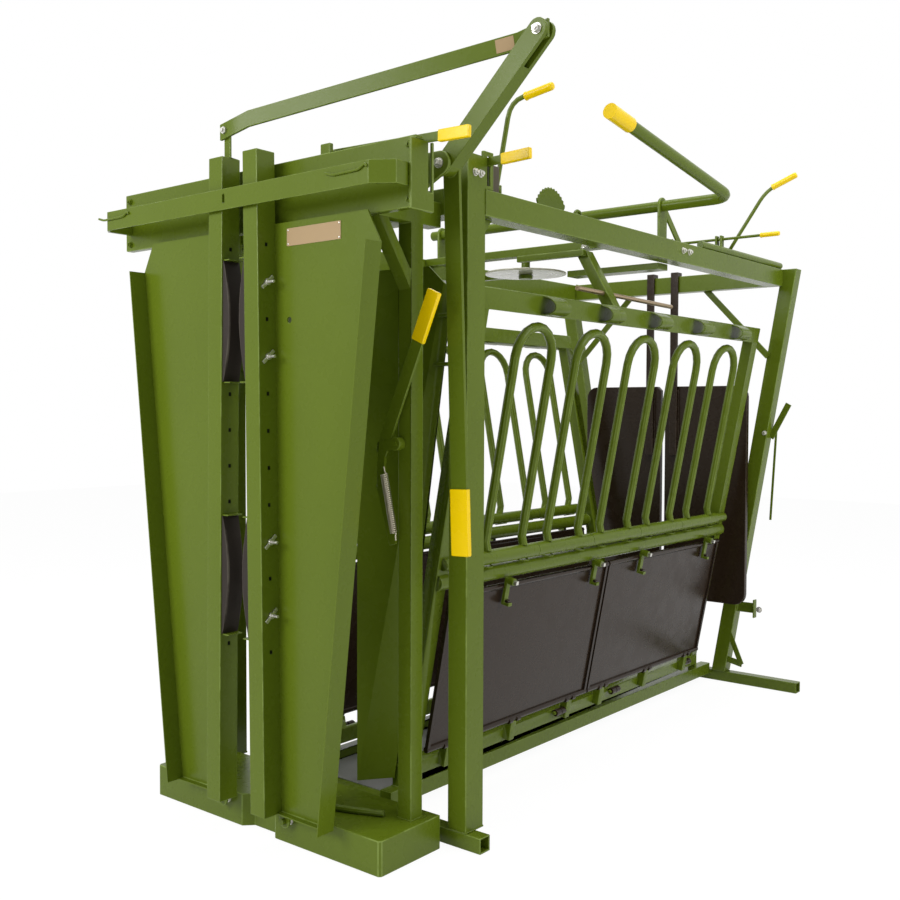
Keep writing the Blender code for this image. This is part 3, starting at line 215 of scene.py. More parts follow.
def finished(name, colour, thin, gloss, peel, metal=0.0, coat=0.0, shine=0.17, worn_glint_share=0.8, dust=0.0):
    """A worn industrial finish.

    colour fades to thin along rounded edges, as rubbed paint and a painted highlight; gloss is the
    range of roughness, peel the grain's scale and depth, and dust the share of dull film that
    settles in broad clouds.
    """
    made = bpy.data.materials.new(name)
    made.use_nodes = True
    tree = made.node_tree
    tree.nodes.clear()
    output = tree.nodes.new("ShaderNodeOutputMaterial")
    shader = tree.nodes.new("ShaderNodeBsdfPrincipled")
    place = tree.nodes.new("ShaderNodeTexCoord").outputs["Object"]
    cloud = noise(tree, place, 1.7, 4.0, 0.55)
    blotch = noise(tree, place, 13.0, 3.0, 0.6)
    grain = noise(tree, place, peel[0], 2.0, 0.5)
    wave = noise(tree, place, 7.0, 2.0, 0.4)
    deep = tuple(part * 0.97 for part in colour)
    light = tuple(min(part * 1.03, 1.0) for part in colour)
    body = tint(tree, spread(tree, cloud, 0.38, 0.62, 0, 1), deep, light)
    film = spread(tree, blotch, 0.50, 0.72, 0, dust)
    grey = tuple(0.6 * part + 0.07 for part in colour)
    body = tint(tree, film, body, grey)
    # Rounded edge faces take the paler colour: rubbed paint, and a painted highlight standing for the glint
    # along each edge.
    edge = tree.nodes.new("ShaderNodeAttribute")
    edge.attribute_name = "wear"
    worn_glint_mix = product(tree, spread(tree, edge.outputs["Fac"], 0, 1, 0, worn_glint_share),
                  spread(tree, blotch, 0.40, 0.60, 0.25, 1))
    body = tint(tree, worn_glint_mix, body, thin)
    tree.links.new(body, shader.inputs["Base Color"])
    tree.links.new(spread(tree, blotch, 0.3, 0.7, *gloss), shader.inputs["Roughness"])
    tree.links.new(relief(tree, ((grain, peel[1], 0.25), (wave, 0.0010, 0.10))), shader.inputs["Normal"])
    shader.inputs["Metallic"].default_value = metal
    shader.inputs["Specular IOR Level"].default_value = shine
    shader.inputs["Coat Weight"].default_value = coat
    shader.inputs["Coat Roughness"].default_value = 0.15
    tree.links.new(shader.outputs[0], output.inputs["Surface"])
    return made


green_paint = finished("green_paint", green, green_worn_glint, (0.25, 0.30), (380.0, 0.0004), coat=0.05)


def piece(name, bm, look, body, smooth=38):
    """A finished piece from a bmesh, riding on a body."""
    mesh = bpy.data.meshes.new(name)
    bm.to_mesh(mesh)
    bm.free()
    mesh.shade_smooth()
    mesh.set_sharp_from_angle(angle=math.radians(smooth))
    mesh.materials.append(look)
    made = bpy.data.objects.new(name, mesh)
    bpy.context.scene.collection.objects.link(made)
    flat = made.modifiers.new("flat_faces", "WEIGHTED_NORMAL")
    flat.keep_sharp = True
    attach(made, body)
    return made


def round_edges(bm, width, turn=35):
    """Round each sharp edge that has room for it, and mark the new faces for the paler edge colour: wear and
    a painted highlight.
    """
    room = 2.4 * width
    wear = bm.faces.layers.float.new("wear")
    sharp = []
    for edge in bm.edges:
        if len(edge.link_faces) == 2 and edge.calc_face_angle(0) > math.radians(turn):
            beside = [other.calc_length() for vert in edge.verts for other in vert.link_edges]
            if min(beside) > room:
                sharp.append(edge)
    rounded = bmesh.ops.bevel(bm, geom=sharp, offset=width, offset_type="OFFSET", segments=2, profile=0.5,
                              affect="EDGES", clamp_overlap=False)
    for face in rounded["faces"]:
        face[wear] = 1.0
    return bm


def whole(node, joined=True):
    """A node's solid as a bmesh; joined puts its flat faces in one piece."""
    bm = bmesh.new()
    bm.from_mesh(nodes[node].data)
    bmesh.ops.remove_doubles(bm, verts=bm.verts, dist=1e-5)
    if not joined:
        return bm
    bmesh.ops.dissolve_limit(bm, angle_limit=math.radians(0.4), verts=bm.verts, edges=bm.edges)
    return bm


def member(node, look=green_paint, edge=0.003, joined=True):
    """A welded member in place of its node."""
    made = piece(f"{node}_skin", round_edges(whole(node, joined), edge), look, body_of[node])
    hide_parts(node)
    return made


for node in ("rear_rail", "front_foot", "rear_foot", "front_cross_beam", "rear_cross_beam",
             "disc_carrier", "headgate_base"):
    member(node)
for side, sign in sides:
    for kind in ("headgate_post", "main_post", "top_beam", "rear_post", "equaliser_link"):
        member(f"{kind}_{side}")
    member(f"side_frame_{side}", joined=False)
for node in ("headgate_lever", "headgate_link", "headgate_lock_lever", "squeeze_lock_lever",
             "release_lever"):
    member(node, edge=0.0015)


# ---- Hoops and their hoods -------------------------------------------------------------------
# Bent round bar with a short hood of rolled strip on its shoulder; the bar is smooth-shaded all
# round and the strip keeps a thin bright edge, rounded and painted paler as wear and a painted highlight.

for side, sign in sides:
    for n in range(1, 6):
        member(f"hoop_{side}_{n}", edge=0.0012)


# ---- Black panels, hinges and latches --------------------------------------------------------
# Drop panels and tail panels in thick gloss black with a brown cast, on black hinge barrels with
# green pins.  The latches ride on the panels: collar on the pipe, hooked foot, zinc shaft end.

black = (0.026, 0.0155, 0.0085)
# The paler brown second colour goes on rounded edges: paint rubbed thin and a painted highlight.
black_paint = finished("black_paint", black, (0.11, 0.085, 0.065), (0.20, 0.34), (300.0, 0.0004), coat=0.04,
                       shine=0.20, worn_glint_share=0.5)
panel_lug_shares = (0.12, 0.5, 0.88)      # along a panel, from its front edge
panel_hinge_line = (0.047, 0.071)
hinge_pin_reach = 0.042

shop = Matrix.Translation((0, -0.136, 0))     # half the base's depth: the origin is under its middle
# The paler second colour goes on rounded edges: rubbed plating and a painted highlight.
zinc = finished("zinc", (0.66, 0.65, 0.60), (0.78, 0.77, 0.74), (0.24, 0.38), (900.0, 0.0002), 0.85,
                dust=0.3)


def block_in(bm, low, high, place=shop):
    """A block between two corners."""
    middle = [(a + b) / 2 for a, b in zip(low, high)]
    size = [abs(b - a) for a, b in zip(low, high)]
    bmesh.ops.create_cube(bm, size=1.0, matrix=place @ Matrix.Translation(middle) @ Matrix.Diagonal((*size,
                                                                                                     1)))


def rod_in(bm, path, radii, sides=16, place=shop):
    """A round bar along a path; radii is one radius or one for each point."""
    path = [place @ Vector(point) for point in path]
    if isinstance(radii, float):
        radii = [radii] * len(path)
    rings = []
    across = None
    for i, point in enumerate(path):
        along = (path[min(i + 1, len(path) - 1)] - path[max(i - 1, 0)]).normalized()
        if across is None:
            across = along.orthogonal().normalized()
        across = (across - along * across.dot(along)).normalized()
        up = along.cross(across)
        turns = [math.tau * k / sides for k in range(sides)]
        rings.append([bm.verts.new(point + (across * math.cos(t) + up * math.sin(t)) * radii[i])
                      for t in turns])
    for first, second in zip(rings, rings[1:]):
        for k in range(sides):
            n = (k + 1) % sides
            bm.faces.new((first[k], first[n], second[n], second[k]))
    bm.faces.new(list(reversed(rings[0])))
    bm.faces.new(rings[-1])


def hinge_in(barrels, pins, line, along, reach, gap, thick, thin, pin_sides, place):
    """Two hinge barrels either side of a gap, and the pin that stands out of both ends.

    line is the hinge's own line: how far out and how far up the side it runs.
    """
    out, up = line
    for start, end in ((-reach, -gap), (gap, reach)):
        rod_in(barrels, [(out, along + start, up), (out, along + end, up)], thick, 18, place)
    rod_in(pins, [(out, along - hinge_pin_reach, up), (out, along + hinge_pin_reach, up)], thin, pin_sides,
           place)


def made_up(name, bm, look, body, edge=0.001):
    """Turn the faces outwards, round the edges and finish a piece."""
    bmesh.ops.recalc_face_normals(bm, faces=bm.faces)
    return piece(name, round_edges(bm, edge, 50), look, body)


def side_space(sign):
    """The space of a leaning side: outwards, along the chute, up the side from its hinge."""
    mirror = Matrix.Diagonal((sign, 1, 1, 1))
    return shop @ mirror @ Matrix.Translation((0.2175, 0, 0.1315)) @ Matrix.Rotation(math.radians(10.9), 4,
                                                                                     "Y")


for side, sign in sides:
    lean = side_space(sign)
    for end, first, last, held in (("front", 0.504, 1.514, (0.798, 1.387)),
                                   ("rear", 1.526, 2.536, (1.765, 2.371))):
        node = f"drop_panel_{side}_{end}"
        member(node, black_paint, 0.0015)
        barrels = bmesh.new()
        pins = bmesh.new()
        for share in panel_lug_shares:
            along = first + share * (last - first)
            hinge_in(barrels, pins, panel_hinge_line, along, 0.034, 0.012, 0.0125, 0.0060, 12, lean)
        made_up(f"{node}_barrels", barrels, black_paint, node)
        made_up(f"{node}_pins", pins, green_paint, node)
        latch = bmesh.new()
        shaft = bmesh.new()
        for along in held:
            block_in(latch, (0.0500, along - 0.0015, 0.562), (0.0635, along + 0.0215, 0.657), lean)
            block_in(latch, (0.0500, along - 0.0005, 0.556), (0.0840, along + 0.0205, 0.568), lean)
            rod_in(latch, [(0.056, along + 0.010, 0.646), (0.086, along + 0.010, 0.646)], 0.0135, 18, lean)
            block_in(shaft, (0.084, along + 0.003, 0.639), (0.100, along + 0.017, 0.653), lean)
        made_up(f"{node}_latches", latch, green_paint, node, 0.002)
        made_up(f"{node}_shafts", shaft, zinc, node, 0.0015)
    member(f"tail_panel_{side}", black_paint, 0.0025)


# ---- Yellow grips ----------------------------------------------------------------------------
# Thick vinyl the bars were dipped in: glossy, rounded over the ends, with a rolled lip where it
# stops on a round bar.  The two big grips have a solid of their own; the rest are fitted here.

vinyl = finished("yellow_vinyl", (1.0, 0.68, 0.0), (1.0, 0.76, 0.04), (0.22, 0.32), (160.0, 0.0002),
                 coat=0.12, shine=0.25, worn_glint_share=0.0)
member("headgate_lever_grip", vinyl, 0.005)
member("squeeze_tube_grip", vinyl, 0.006)


def dipped(name, start, end, radius, body, length):
    """A round grip over the last of a rod, from its tip back."""
    tip = Vector(end)
    back = (Vector(start) - tip).normalized()
    profile = ((-0.004, 0.45), (-0.003, 0.80), (0.0005, 0.97), (0.005, 1.0), (length - 0.006, 1.0),
               (length - 0.004, 1.12), (length - 0.001, 1.12), (length, 0.95))
    bm = bmesh.new()
    rod_in(bm, [tip + back * along for along, _ in profile], [radius * share for _, share in profile], 20)
    return made_up(name, bm, vinyl, body, 0.0)


def boxed(name, start, end, size, body, length):
    """A square-cornered grip over the last of a flat bar, from its tip back."""
    tip = Vector(end)
    back = (Vector(start) - tip).normalized()
    turn = back.to_track_quat("X", "Z").to_matrix().to_4x4()
    bm = bmesh.new()
    block_in(bm, (-0.003, -size[0] / 2, -size[1] / 2), (length, size[0] / 2, size[1] / 2),
             shop @ Matrix.Translation(tip) @ turn)
    return made_up(name, bm, vinyl, body, 0.004)


boxed("headgate_lock_grip", (0.300, 0.060, 2.122), (0.802, 0.060, 2.108), (0.017, 0.034),
      "headgate_lock_lever", 0.105)
boxed("squeeze_lock_grip", (0.250, 0.419, 2.108), (0.752, 0.419, 2.124), (0.017, 0.034),
      "squeeze_lock_lever", 0.105)
boxed("release_grip", (0.393, 0.153, 1.222), (0.603, 0.153, 1.697), (0.017, 0.047), "release_lever", 0.155)
dipped("side_lever_grip", (0.66, 0.520, 2.330), (0.762, 0.520, 2.344), 0.0125, "side_lever", 0.100)
dipped("tail_lever_grip", (0.72, 2.250, 2.311), (0.850, 2.250, 2.361), 0.0125, "tail_lever", 0.110)
dipped("pull_rod_grip", (0.700, 2.160, 2.106), (0.815, 2.160, 2.106), 0.0100, "pull_rod", 0.080)


# ---- Floor, pipes, rods and the disc ---------------------------------------------------------
# Green rails with a pale galvanised sheet between them, the pipe along the base, hand levers of
# round bar, and the equaliser disc with its glossy face, whose pale colour is a painted reflection.

galvanised = finished("galvanised", (0.40, 0.40, 0.39), (0.80, 0.80, 0.78), (0.30, 0.45), (700.0, 0.0003),
                      0.75,
                      dust=0.35)
# The disc's pale base colour is a painted reflection laid on its glossy face.
pale_enamel = finished("pale_enamel", (0.43, 0.42, 0.31), (0.60, 0.59, 0.50), (0.16, 0.28), (300.0, 0.0003),
                       coat=0.4, shine=0.5)
bronze = finished("bronze", (0.42, 0.31, 0.19), (0.60, 0.48, 0.32), (0.26, 0.40), (500.0, 0.0003), 0.75)
spring_wire = finished("spring_wire", (0.50, 0.46, 0.36), (0.62, 0.58, 0.50), (0.28, 0.42), (700.0, 0.0002),
                       0.8)

member("floor_frame", edge=0.002)
for node in ("base_pipe", "tail_lever", "side_lever", "pull_rod", "guide_pipe", "squeeze_tube"):
    member(node, edge=0.0012)
member("equaliser_disc", pale_enamel, 0.0015)

sheet = bmesh.new()
block_in(sheet, (-0.193, 0.420, 0.0505), (0.193, 2.600, 0.0530))
made_up("floor_sheet", sheet, galvanised, "frame", 0.0)

rod = bmesh.new()
rod_in(rod, [(0.500, 1.082, 1.800), (0.440, 1.922, 1.800)], 0.009, 16)
made_up("cross_rod", rod, bronze, "frame", 0.0)


# ---- Stop blocks and neck pads ---------------------------------------------------------------
# Moulded rubber, matt and a little dusty.  Each neck pad sits on the inner edge of a door,
# between two thin green plates that are welded to the door tube.

# Each rubber's paler second colour goes on its rounded edges: rubbed surface and a painted highlight.
rubber = finished("rubber", (0.085, 0.074, 0.050), (0.15, 0.14, 0.11), (0.52, 0.70), (260.0, 0.0006),
                  worn_glint_share=0.4)
pad_rubber = finished("pad_rubber", (0.030, 0.023, 0.018), (0.09, 0.08, 0.06), (0.42, 0.60), (240.0, 0.0006))
for side, sign in sides:
    member(f"stop_block_{side}", rubber, 0.004)
    for end in ("lower", "upper"):
        member(f"neck_pad_{side}_{end}", pad_rubber, 0.006)
    for end, low, high in (("lower", 0.646, 1.020), ("upper", 1.440, 1.816)):
        box_low, box_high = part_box(f"neck_pad_{side}_{end}")
        plates = bmesh.new()
        for z in (low - 0.004, high):
            block_in(plates, (box_low.x + 0.004, box_low.y + 0.003, z),
                     (box_high.x - 0.004, box_high.y - 0.003, z + 0.004),
                     Matrix.Identity(4))
        made_up(f"pad_ends_{side}_{end}", plates, green_paint, f"door_{side}", 0.0008)


# ---- Release spring --------------------------------------------------------------------------
# A close-wound coil of plated wire whose ends run on into short tails.  It hangs from the
# release lever and pulls it back after use.

spring_low, spring_high = (0.462, 0.140, 0.962), (0.412, 0.140, 1.182)
run = Vector(spring_high) - Vector(spring_low)
along = run.normalized()
across = Vector((0, 1, 0))
third = along.cross(across)
coil = []
turns, steps = 30, 14
for i in range(turns * steps + 1):
    share = i / (turns * steps)
    angle = math.tau * i / steps
    centre = Vector(spring_low) + run * (0.10 + 0.80 * share)
    coil.append(centre + (across * math.cos(angle) + third * math.sin(angle)) * 0.0098)
ends = [Vector(spring_low) + across * 0.004, Vector(spring_low) + run * 0.06 + across * 0.005]
tops = [Vector(spring_low) + run * 0.94 + across * 0.005, Vector(spring_high) + across * 0.004]
bm = bmesh.new()
rod_in(bm, ends + coil + tops, 0.0020, 8)
spring = made_up("release_spring_coil", bm, spring_wire, "release_lever", 0.0)
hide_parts("release_spring")


# ---- Headgate doors --------------------------------------------------------------------------
# Square tubes punched with a row of square holes for the zinc wing bolts that carry the pads, a
# bent sheet wing behind each, and an unlettered plate on the near one.

hole_pitch, first_hole = 0.113, 0.611
bolt_holes = (1, 3, 8, 10)
tube_middle, tube_half = -0.0595, 0.0325
tube_foot, tube_head = Vector((0.107, 0.105)), Vector((0.080, 2.138))


def plate_in(bm, axis, outline, start, end, place=shop):
    """An outline extruded along an axis: (x, z) for y and (y, z) for x."""
    order = {"y": lambda a, b, t: (a, t, b), "x": lambda a, b, t: (t, a, b)}[axis]
    rings = [[bm.verts.new(place @ Vector(order(a, b, along))) for a, b in outline] for along in (start,
                                                                                                  end)]
    count = len(outline)
    for ring in rings:
        bm.faces.new(ring)
    for i in range(count):
        j = (i + 1) % count
        bm.faces.new((rings[0][i], rings[0][j], rings[1][j], rings[1][i]))


def bar_in(bm, axis, start, end, width, low, high, place=shop):
    """A straight flat bar between two points of an outline's plane."""
    run = Vector((end[0] - start[0], end[1] - start[1])).normalized()
    off = Vector((-run.y, run.x)) * width / 2
    corners = [(start[0] + off.x, start[1] + off.y), (start[0] - off.x, start[1] - off.y),
               (end[0] - off.x, end[1] - off.y), (end[0] + off.x, end[1] + off.y)]
    plate_in(bm, axis, corners, low, high, place)


def carved(made, cutter):
    """Cut a bmesh out of a piece."""
    mesh = bpy.data.meshes.new("cutter")
    bmesh.ops.recalc_face_normals(cutter, faces=cutter.faces)
    cutter.to_mesh(mesh)
    cutter.free()
    tool = bpy.data.objects.new("cutter", mesh)
    bpy.context.scene.collection.objects.link(tool)
    cut = made.modifiers.new("holes", "BOOLEAN")
    cut.operation = "DIFFERENCE"
    cut.solver = "EXACT"
    cut.object = tool
    bpy.context.view_layer.update()
    result = bpy.data.meshes.new_from_object(made.evaluated_get(bpy.context.evaluated_depsgraph_get()))
    made.modifiers.clear()
    made.data = result
    bpy.data.objects.remove(tool)
    result.set_sharp_from_angle(angle=math.radians(38))
    made.modifiers.new("flat_faces", "WEIGHTED_NORMAL").keep_sharp = True


# Near-black plugs a few millimetres inside each square hole: painted shade standing for the dark inside of
# the tube.
shade_plug_look = finished("tube_inside", (0.006, 0.006, 0.004), (0.01, 0.01, 0.008), (0.7, 0.9),
                       (200.0, 0.0004), shine=0.1,
                       worn_glint_share=0.0)
for side, sign in sides:
    door = member(f"door_{side}", edge=0.0025)
    holes = bmesh.new()
    if side == "near":
        rod_in(holes, [(0.179, -0.035, 1.625), (0.179, -0.015, 1.625)], 0.010, 20)
    wings = bmesh.new()
    shanks = bmesh.new()
    shade_plugs = bmesh.new()
    for k in range(12):
        z = first_hole + hole_pitch * k
        middle = tube_foot.x + (tube_head.x - tube_foot.x) * (z - tube_foot.y) / (tube_head.y - tube_foot.y)
        face = middle + tube_half
        if k in bolt_holes:
            rod_in(shanks, [(sign * (face - 0.002), tube_middle, z),
                            (sign * (face + 0.033), tube_middle, z)], 0.0048, 14)
            rod_in(wings, [(sign * face, tube_middle, z), (sign * (face + 0.009), tube_middle, z)], 0.0105,
                   16)
            for tip in (-1, 1):
                bar_in(wings, "x", (tube_middle, z), (tube_middle + tip * 0.021, z + tip * 0.019), 0.011,
                       sign * (face + 0.001), sign * (face + 0.0065))
        for across in (-1, 1):
            wall = middle + across * tube_half
            if k in bolt_holes and across > 0:
                continue
            block_in(holes, (sign * (wall - across * 0.008), tube_middle - 0.006, z - 0.006),
                     (sign * (wall + across * 0.004), tube_middle + 0.006, z + 0.006))
            # a near-black plug behind the hole: painted shade
            block_in(shade_plugs, (sign * (wall - across * 0.0075), tube_middle - 0.0062, z - 0.0062),
                     (sign * (wall - across * 0.0030), tube_middle + 0.0062, z + 0.0062))
    carved(door, holes)
    made_up(f"tube_hollows_{side}", shade_plugs, shade_plug_look, f"door_{side}", 0.0)
    made_up(f"wing_nuts_{side}", wings, zinc, f"door_{side}", 0.0015)
    made_up(f"pad_bolts_{side}", shanks, zinc, f"door_{side}", 0.0006)

plate_look = finished("plate_cream", (0.44, 0.31, 0.17), (0.50, 0.38, 0.24), (0.30, 0.42), (500.0, 0.0001),
                      dust=0.05)
plate = bmesh.new()
block_in(plate, (0.171, -0.0268, 1.847), (0.400, -0.0250, 1.900))
made_up("door_plate", plate, plate_look, "door_near", 0.0004)
run = Vector((1.0, 0.347, 0.1665)).normalized()      # the link's slanting part, from the door to the fork
face = Vector((0, 0, 1)).cross(run).normalized()
on_link = shop @ Matrix.Translation((0.822, 0.1945, 2.369)) @ Matrix((run, face,
                                                                      run.cross(face))).transposed().to_4x4()
sticker = bmesh.new()
block_in(sticker, (-0.027, -0.0008, -0.0190), (0.027, 0.0004, 0.0190), on_link)
rivets = bmesh.new()
for x in (0.177, 0.394):
    for z in (1.853, 1.894):
        rod_in(rivets, [(x, -0.0262, z), (x, -0.0278, z), (x, -0.0286, z)], [0.0030, 0.0026, 0.0012], 12)
made_up("link_sticker", sticker, plate_look, "headgate_link", 0.0)
made_up("door_rivets", rivets, zinc, "door_near", 0.0)


# ---- Rails over the doors --------------------------------------------------------------------
# The front rail is a green strap with a slot and two bent wire clips; the rear rail carries
# latch bolts.  Every hex bolt is one washer, head and thread repeated on points, and each
# point carries the way it faces and its size.

def new_socket(group, name, kind, default=None):
    """An input of a node group, and its identifier."""
    socket = group.interface.new_socket(name=name, in_out="INPUT", socket_type=kind)
    if default is not None:
        socket.default_value = default
    return socket.identifier


def geometry_group(name):
    """An empty geometry node group with its input and output."""
    group = bpy.data.node_groups.new(name, "GeometryNodeTree")
    group.interface.new_socket(name="Geometry", in_out="OUTPUT", socket_type="NodeSocketGeometry")
    new_socket(group, "Geometry", "NodeSocketGeometry")
    return group, group.nodes.new("NodeGroupInput"), group.nodes.new("NodeGroupOutput")


def primitive(group, kind, settings, lift):
    """A mesh primitive with set sizes, moved up its axis."""
    made = group.nodes.new(kind)
    for name, number in settings.items():
        made.inputs[name].default_value = number
    move = group.nodes.new("GeometryNodeTransform")
    move.inputs["Translation"].default_value = (0, 0, lift)
    group.links.new(made.outputs["Mesh"], move.inputs["Geometry"])
    return move.outputs["Geometry"]


def named(group, name, kind):
    """A named attribute of the points."""
    made = group.nodes.new("GeometryNodeInputNamedAttribute")
    made.data_type = kind
    made.inputs["Name"].default_value = name
    return [socket for socket in made.outputs if socket.enabled][0]


def fastener_nodes():
    """Washer, hex head with its chamfer and a stub of thread, on every point."""
    group, start, end = geometry_group("hex_fasteners")
    inputs = {"seed": new_socket(group, "Seed", "NodeSocketInt", 3),
              "look": new_socket(group, "Material", "NodeSocketMaterial")}
    washer, head, chamfer, stub = 0.22, 0.68, 0.12, 0.55
    parts = [primitive(group, "GeometryNodeMeshCylinder",
                       {"Vertices": 20, "Radius": 1.22, "Depth": washer}, washer / 2),
             primitive(group, "GeometryNodeMeshCylinder",
                       {"Vertices": 6, "Radius": 1.0, "Depth": head}, washer + head / 2),
             primitive(group, "GeometryNodeMeshCone",
                       {"Vertices": 6, "Radius Top": 0.80, "Radius Bottom": 1.0,
                        "Depth": chamfer}, washer + head),
             primitive(group, "GeometryNodeMeshCylinder",
                       {"Vertices": 14, "Radius": 0.52, "Depth": stub}, washer + head + stub / 2)]
    join = group.nodes.new("GeometryNodeJoinGeometry")
    for part in parts:
        group.links.new(part, join.inputs["Geometry"])
    place = group.nodes.new("GeometryNodeInstanceOnPoints")
    group.links.new(start.outputs["Geometry"], place.inputs["Points"])
    group.links.new(join.outputs[0], place.inputs["Instance"])
    align = group.nodes.new("FunctionNodeAlignRotationToVector")
    align.axis = "Z"
    group.links.new(named(group, "facing", "FLOAT_VECTOR"), align.inputs["Vector"])
    group.links.new(align.outputs[0], place.inputs["Rotation"])
    group.links.new(named(group, "hex_radius", "FLOAT"), place.inputs["Scale"])
    chance = group.nodes.new("FunctionNodeRandomValue")
    chance.data_type = "FLOAT"
    limits = [socket for socket in chance.inputs if socket.name == "Max" and socket.enabled]
    limits[0].default_value = math.tau
    group.links.new(start.outputs["Seed"], chance.inputs["Seed"])
    turn = group.nodes.new("ShaderNodeCombineXYZ")
    group.links.new([socket for socket in chance.outputs if socket.enabled][0], turn.inputs["Z"])
    spin = group.nodes.new("GeometryNodeRotateInstances")
    group.links.new(place.outputs["Instances"], spin.inputs["Instances"])
    group.links.new(turn.outputs[0], spin.inputs["Rotation"])
    real = group.nodes.new("GeometryNodeRealizeInstances")
    group.links.new(spin.outputs[0], real.inputs["Geometry"])
    paint = group.nodes.new("GeometryNodeSetMaterial")
    group.links.new(real.outputs[0], paint.inputs["Geometry"])
    group.links.new(start.outputs["Material"], paint.inputs["Material"])
    group.links.new(paint.outputs[0], end.inputs["Geometry"])
    return group, inputs


hex_group, hex_inputs = fastener_nodes()


def grown(name, seed_mesh, group, values, body, smooth):
    """Run a node group on a seed mesh and keep the result as a plain piece on a body."""
    seed = bpy.data.objects.new(f"{name}_seed", seed_mesh)
    bpy.context.scene.collection.objects.link(seed)
    run = seed.modifiers.new("grow", "NODES")
    run.node_group = group
    for identifier, value in values.items():
        run[identifier] = value
    bpy.context.view_layer.update()
    mesh = bpy.data.meshes.new_from_object(seed.evaluated_get(bpy.context.evaluated_depsgraph_get()))
    bpy.data.objects.remove(seed)
    mesh.name = name
    mesh.shade_smooth()
    mesh.set_sharp_from_angle(angle=math.radians(smooth))
    made = bpy.data.objects.new(name, mesh)
    bpy.context.scene.collection.objects.link(made)
    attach(made, body)
    return made


def fasteners(name, body, spots, look=zinc, place=shop):
    """Hex fasteners on a body; each spot is a point, the way it faces and its hex radius."""
    mesh = bpy.data.meshes.new(f"{name}_points")
    mesh.from_pydata([place @ Vector(point) for point, _, _ in spots], [], [])
    mesh.attributes.new("facing", "FLOAT_VECTOR", "POINT")
    mesh.attributes.new("hex_radius", "FLOAT", "POINT")
    for i, (_, way, size) in enumerate(spots):
        mesh.attributes["facing"].data[i].vector = place.to_3x3() @ Vector(way)
        mesh.attributes["hex_radius"].data[i].value = size
    values = {hex_inputs["seed"]: 3, hex_inputs["look"]: look}
    return grown(name, mesh, hex_group, values, body, 30)


def bent(points, radius, steps=5):
    """A path through the points with rounded corners."""
    points = [Vector(point) for point in points]
    path = [points[0]]
    for before, corner, after in zip(points, points[1:], points[2:]):
        start = corner + (before - corner).normalized() * radius
        end = corner + (after - corner).normalized() * radius
        for i in range(steps + 1):
            t = i / steps
            path.append((1 - t) ** 2 * start + 2 * t * (1 - t) * corner + t ** 2 * end)
    return path + [points[-1]]


strap = whole("front_rail")
front_face = min(vert.co.y for vert in strap.verts)
for vert in strap.verts:
    if vert.co.y < front_face + 0.001:
        vert.co.y += 0.008               # room for the clips in front
rail = piece("front_rail_skin", round_edges(strap, 0.0015), green_paint, "frame")
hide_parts("front_rail")
slot = bmesh.new()
plate_in(slot, "y", [(-0.022 + 0.006 * math.cos(t),
                      2.001 + 0.015 * math.copysign(1, math.sin(t)) * 0.6 + 0.006 * math.sin(t))
                     for t in [math.tau * (i + 0.5) / 20 for i in range(20)]], -0.130, -0.100)
bmesh.ops.recalc_face_normals(slot, faces=slot.faces)
carved(rail, slot)
clips = bmesh.new()
clip_y = -0.1158                # just in front of the strap
for low, high, z in ((0.429, 0.587, 2.008), (-0.688, -0.516, 2.005)):
    rod_in(clips, bent([(low, clip_y, z + 0.006), (low + 0.030, clip_y, z - 0.002),
                        (high - 0.030, clip_y, z),
                        (high - 0.004, clip_y, z + 0.014), (high, clip_y, z + 0.004)], 0.008), 0.0038, 10)
    for collar in (low + 0.024, high - 0.040):
        rod_in(clips, [(collar, -0.1152, z), (collar, -0.1152, z + 0.001)], 0.0045, 12)
made_up("rail_clips", clips, green_paint, "frame", 0.0)
fasteners("rail_bolts", "frame", [((x, -0.001, z), (0, -1, 0), 0.009) for x, z in
                                  ((0.640, 1.935), (0.640, 2.085), (-0.672, 1.935), (-0.672, 2.085),
                                   (0.225, 2.055), (0.270, 2.055), (-0.250, 2.055))],
          green_paint)


# ---- Bolts, lugs and braces ------------------------------------------------------------------
# Pivot bolts on levers and arms, beam bolts, hinge bolts at the rear posts, and small fixed
# brackets: the gear sector, the braces over the tail and the rear latch.

def arc(centre, radius, start, end, steps):
    """Points on an arc, in degrees."""
    turns = [math.radians(start + (end - start) * i / steps) for i in range(steps + 1)]
    return [(centre[0] + radius * math.cos(t), centre[1] + radius * math.sin(t)) for t in turns]


fasteners("base_bolts", "frame", [((sign * 0.150, -0.0005, 0.080), (0, -1, 0), 0.014) for _, sign in sides])
fasteners("beam_bolts", "frame",
          [((sign * 0.601, y, 2.000), (sign, 0, 0), 0.011) for _, sign in sides for y in (1.711, 1.764)]
          + [((sign * 0.601, y, z), (sign, 0, 0), 0.010) for _, sign in sides for y,
             z in ((0.345, 2.075), (0.372, 2.075))])
fasteners("lever_bolts", "headgate_lever", [((0.935, 0.1862, 2.386), (0, -1, 0), 0.0125)])
fasteners("link_bolts", "headgate_link", [((-0.062, -0.070, 2.222), (0, -1, 0), 0.012)])
fasteners("pivot_bolts", "frame", [((0.605, 0.1698, 2.070), (0, -1, 0), 0.0125)])
fasteners("disc_bolt", "equaliser_disc", [((0, 1.467, 1.934), (0, 0, 1), 0.016)])
for side, sign in sides:
    fasteners(f"arm_bolts_{side}", f"side_{side}",
              [((sign * 0.390, 1.310 if sign > 0 else 1.624, 1.981), (0, 0, 1), 0.014)])
    fasteners(f"rear_bolts_{side}", "frame", [((sign * 0.505, 2.7448, 0.385), (0, -1, 0), 0.012),
                                             ((sign * 0.520, 2.7448, 1.250), (0, -1, 0), 0.010)])

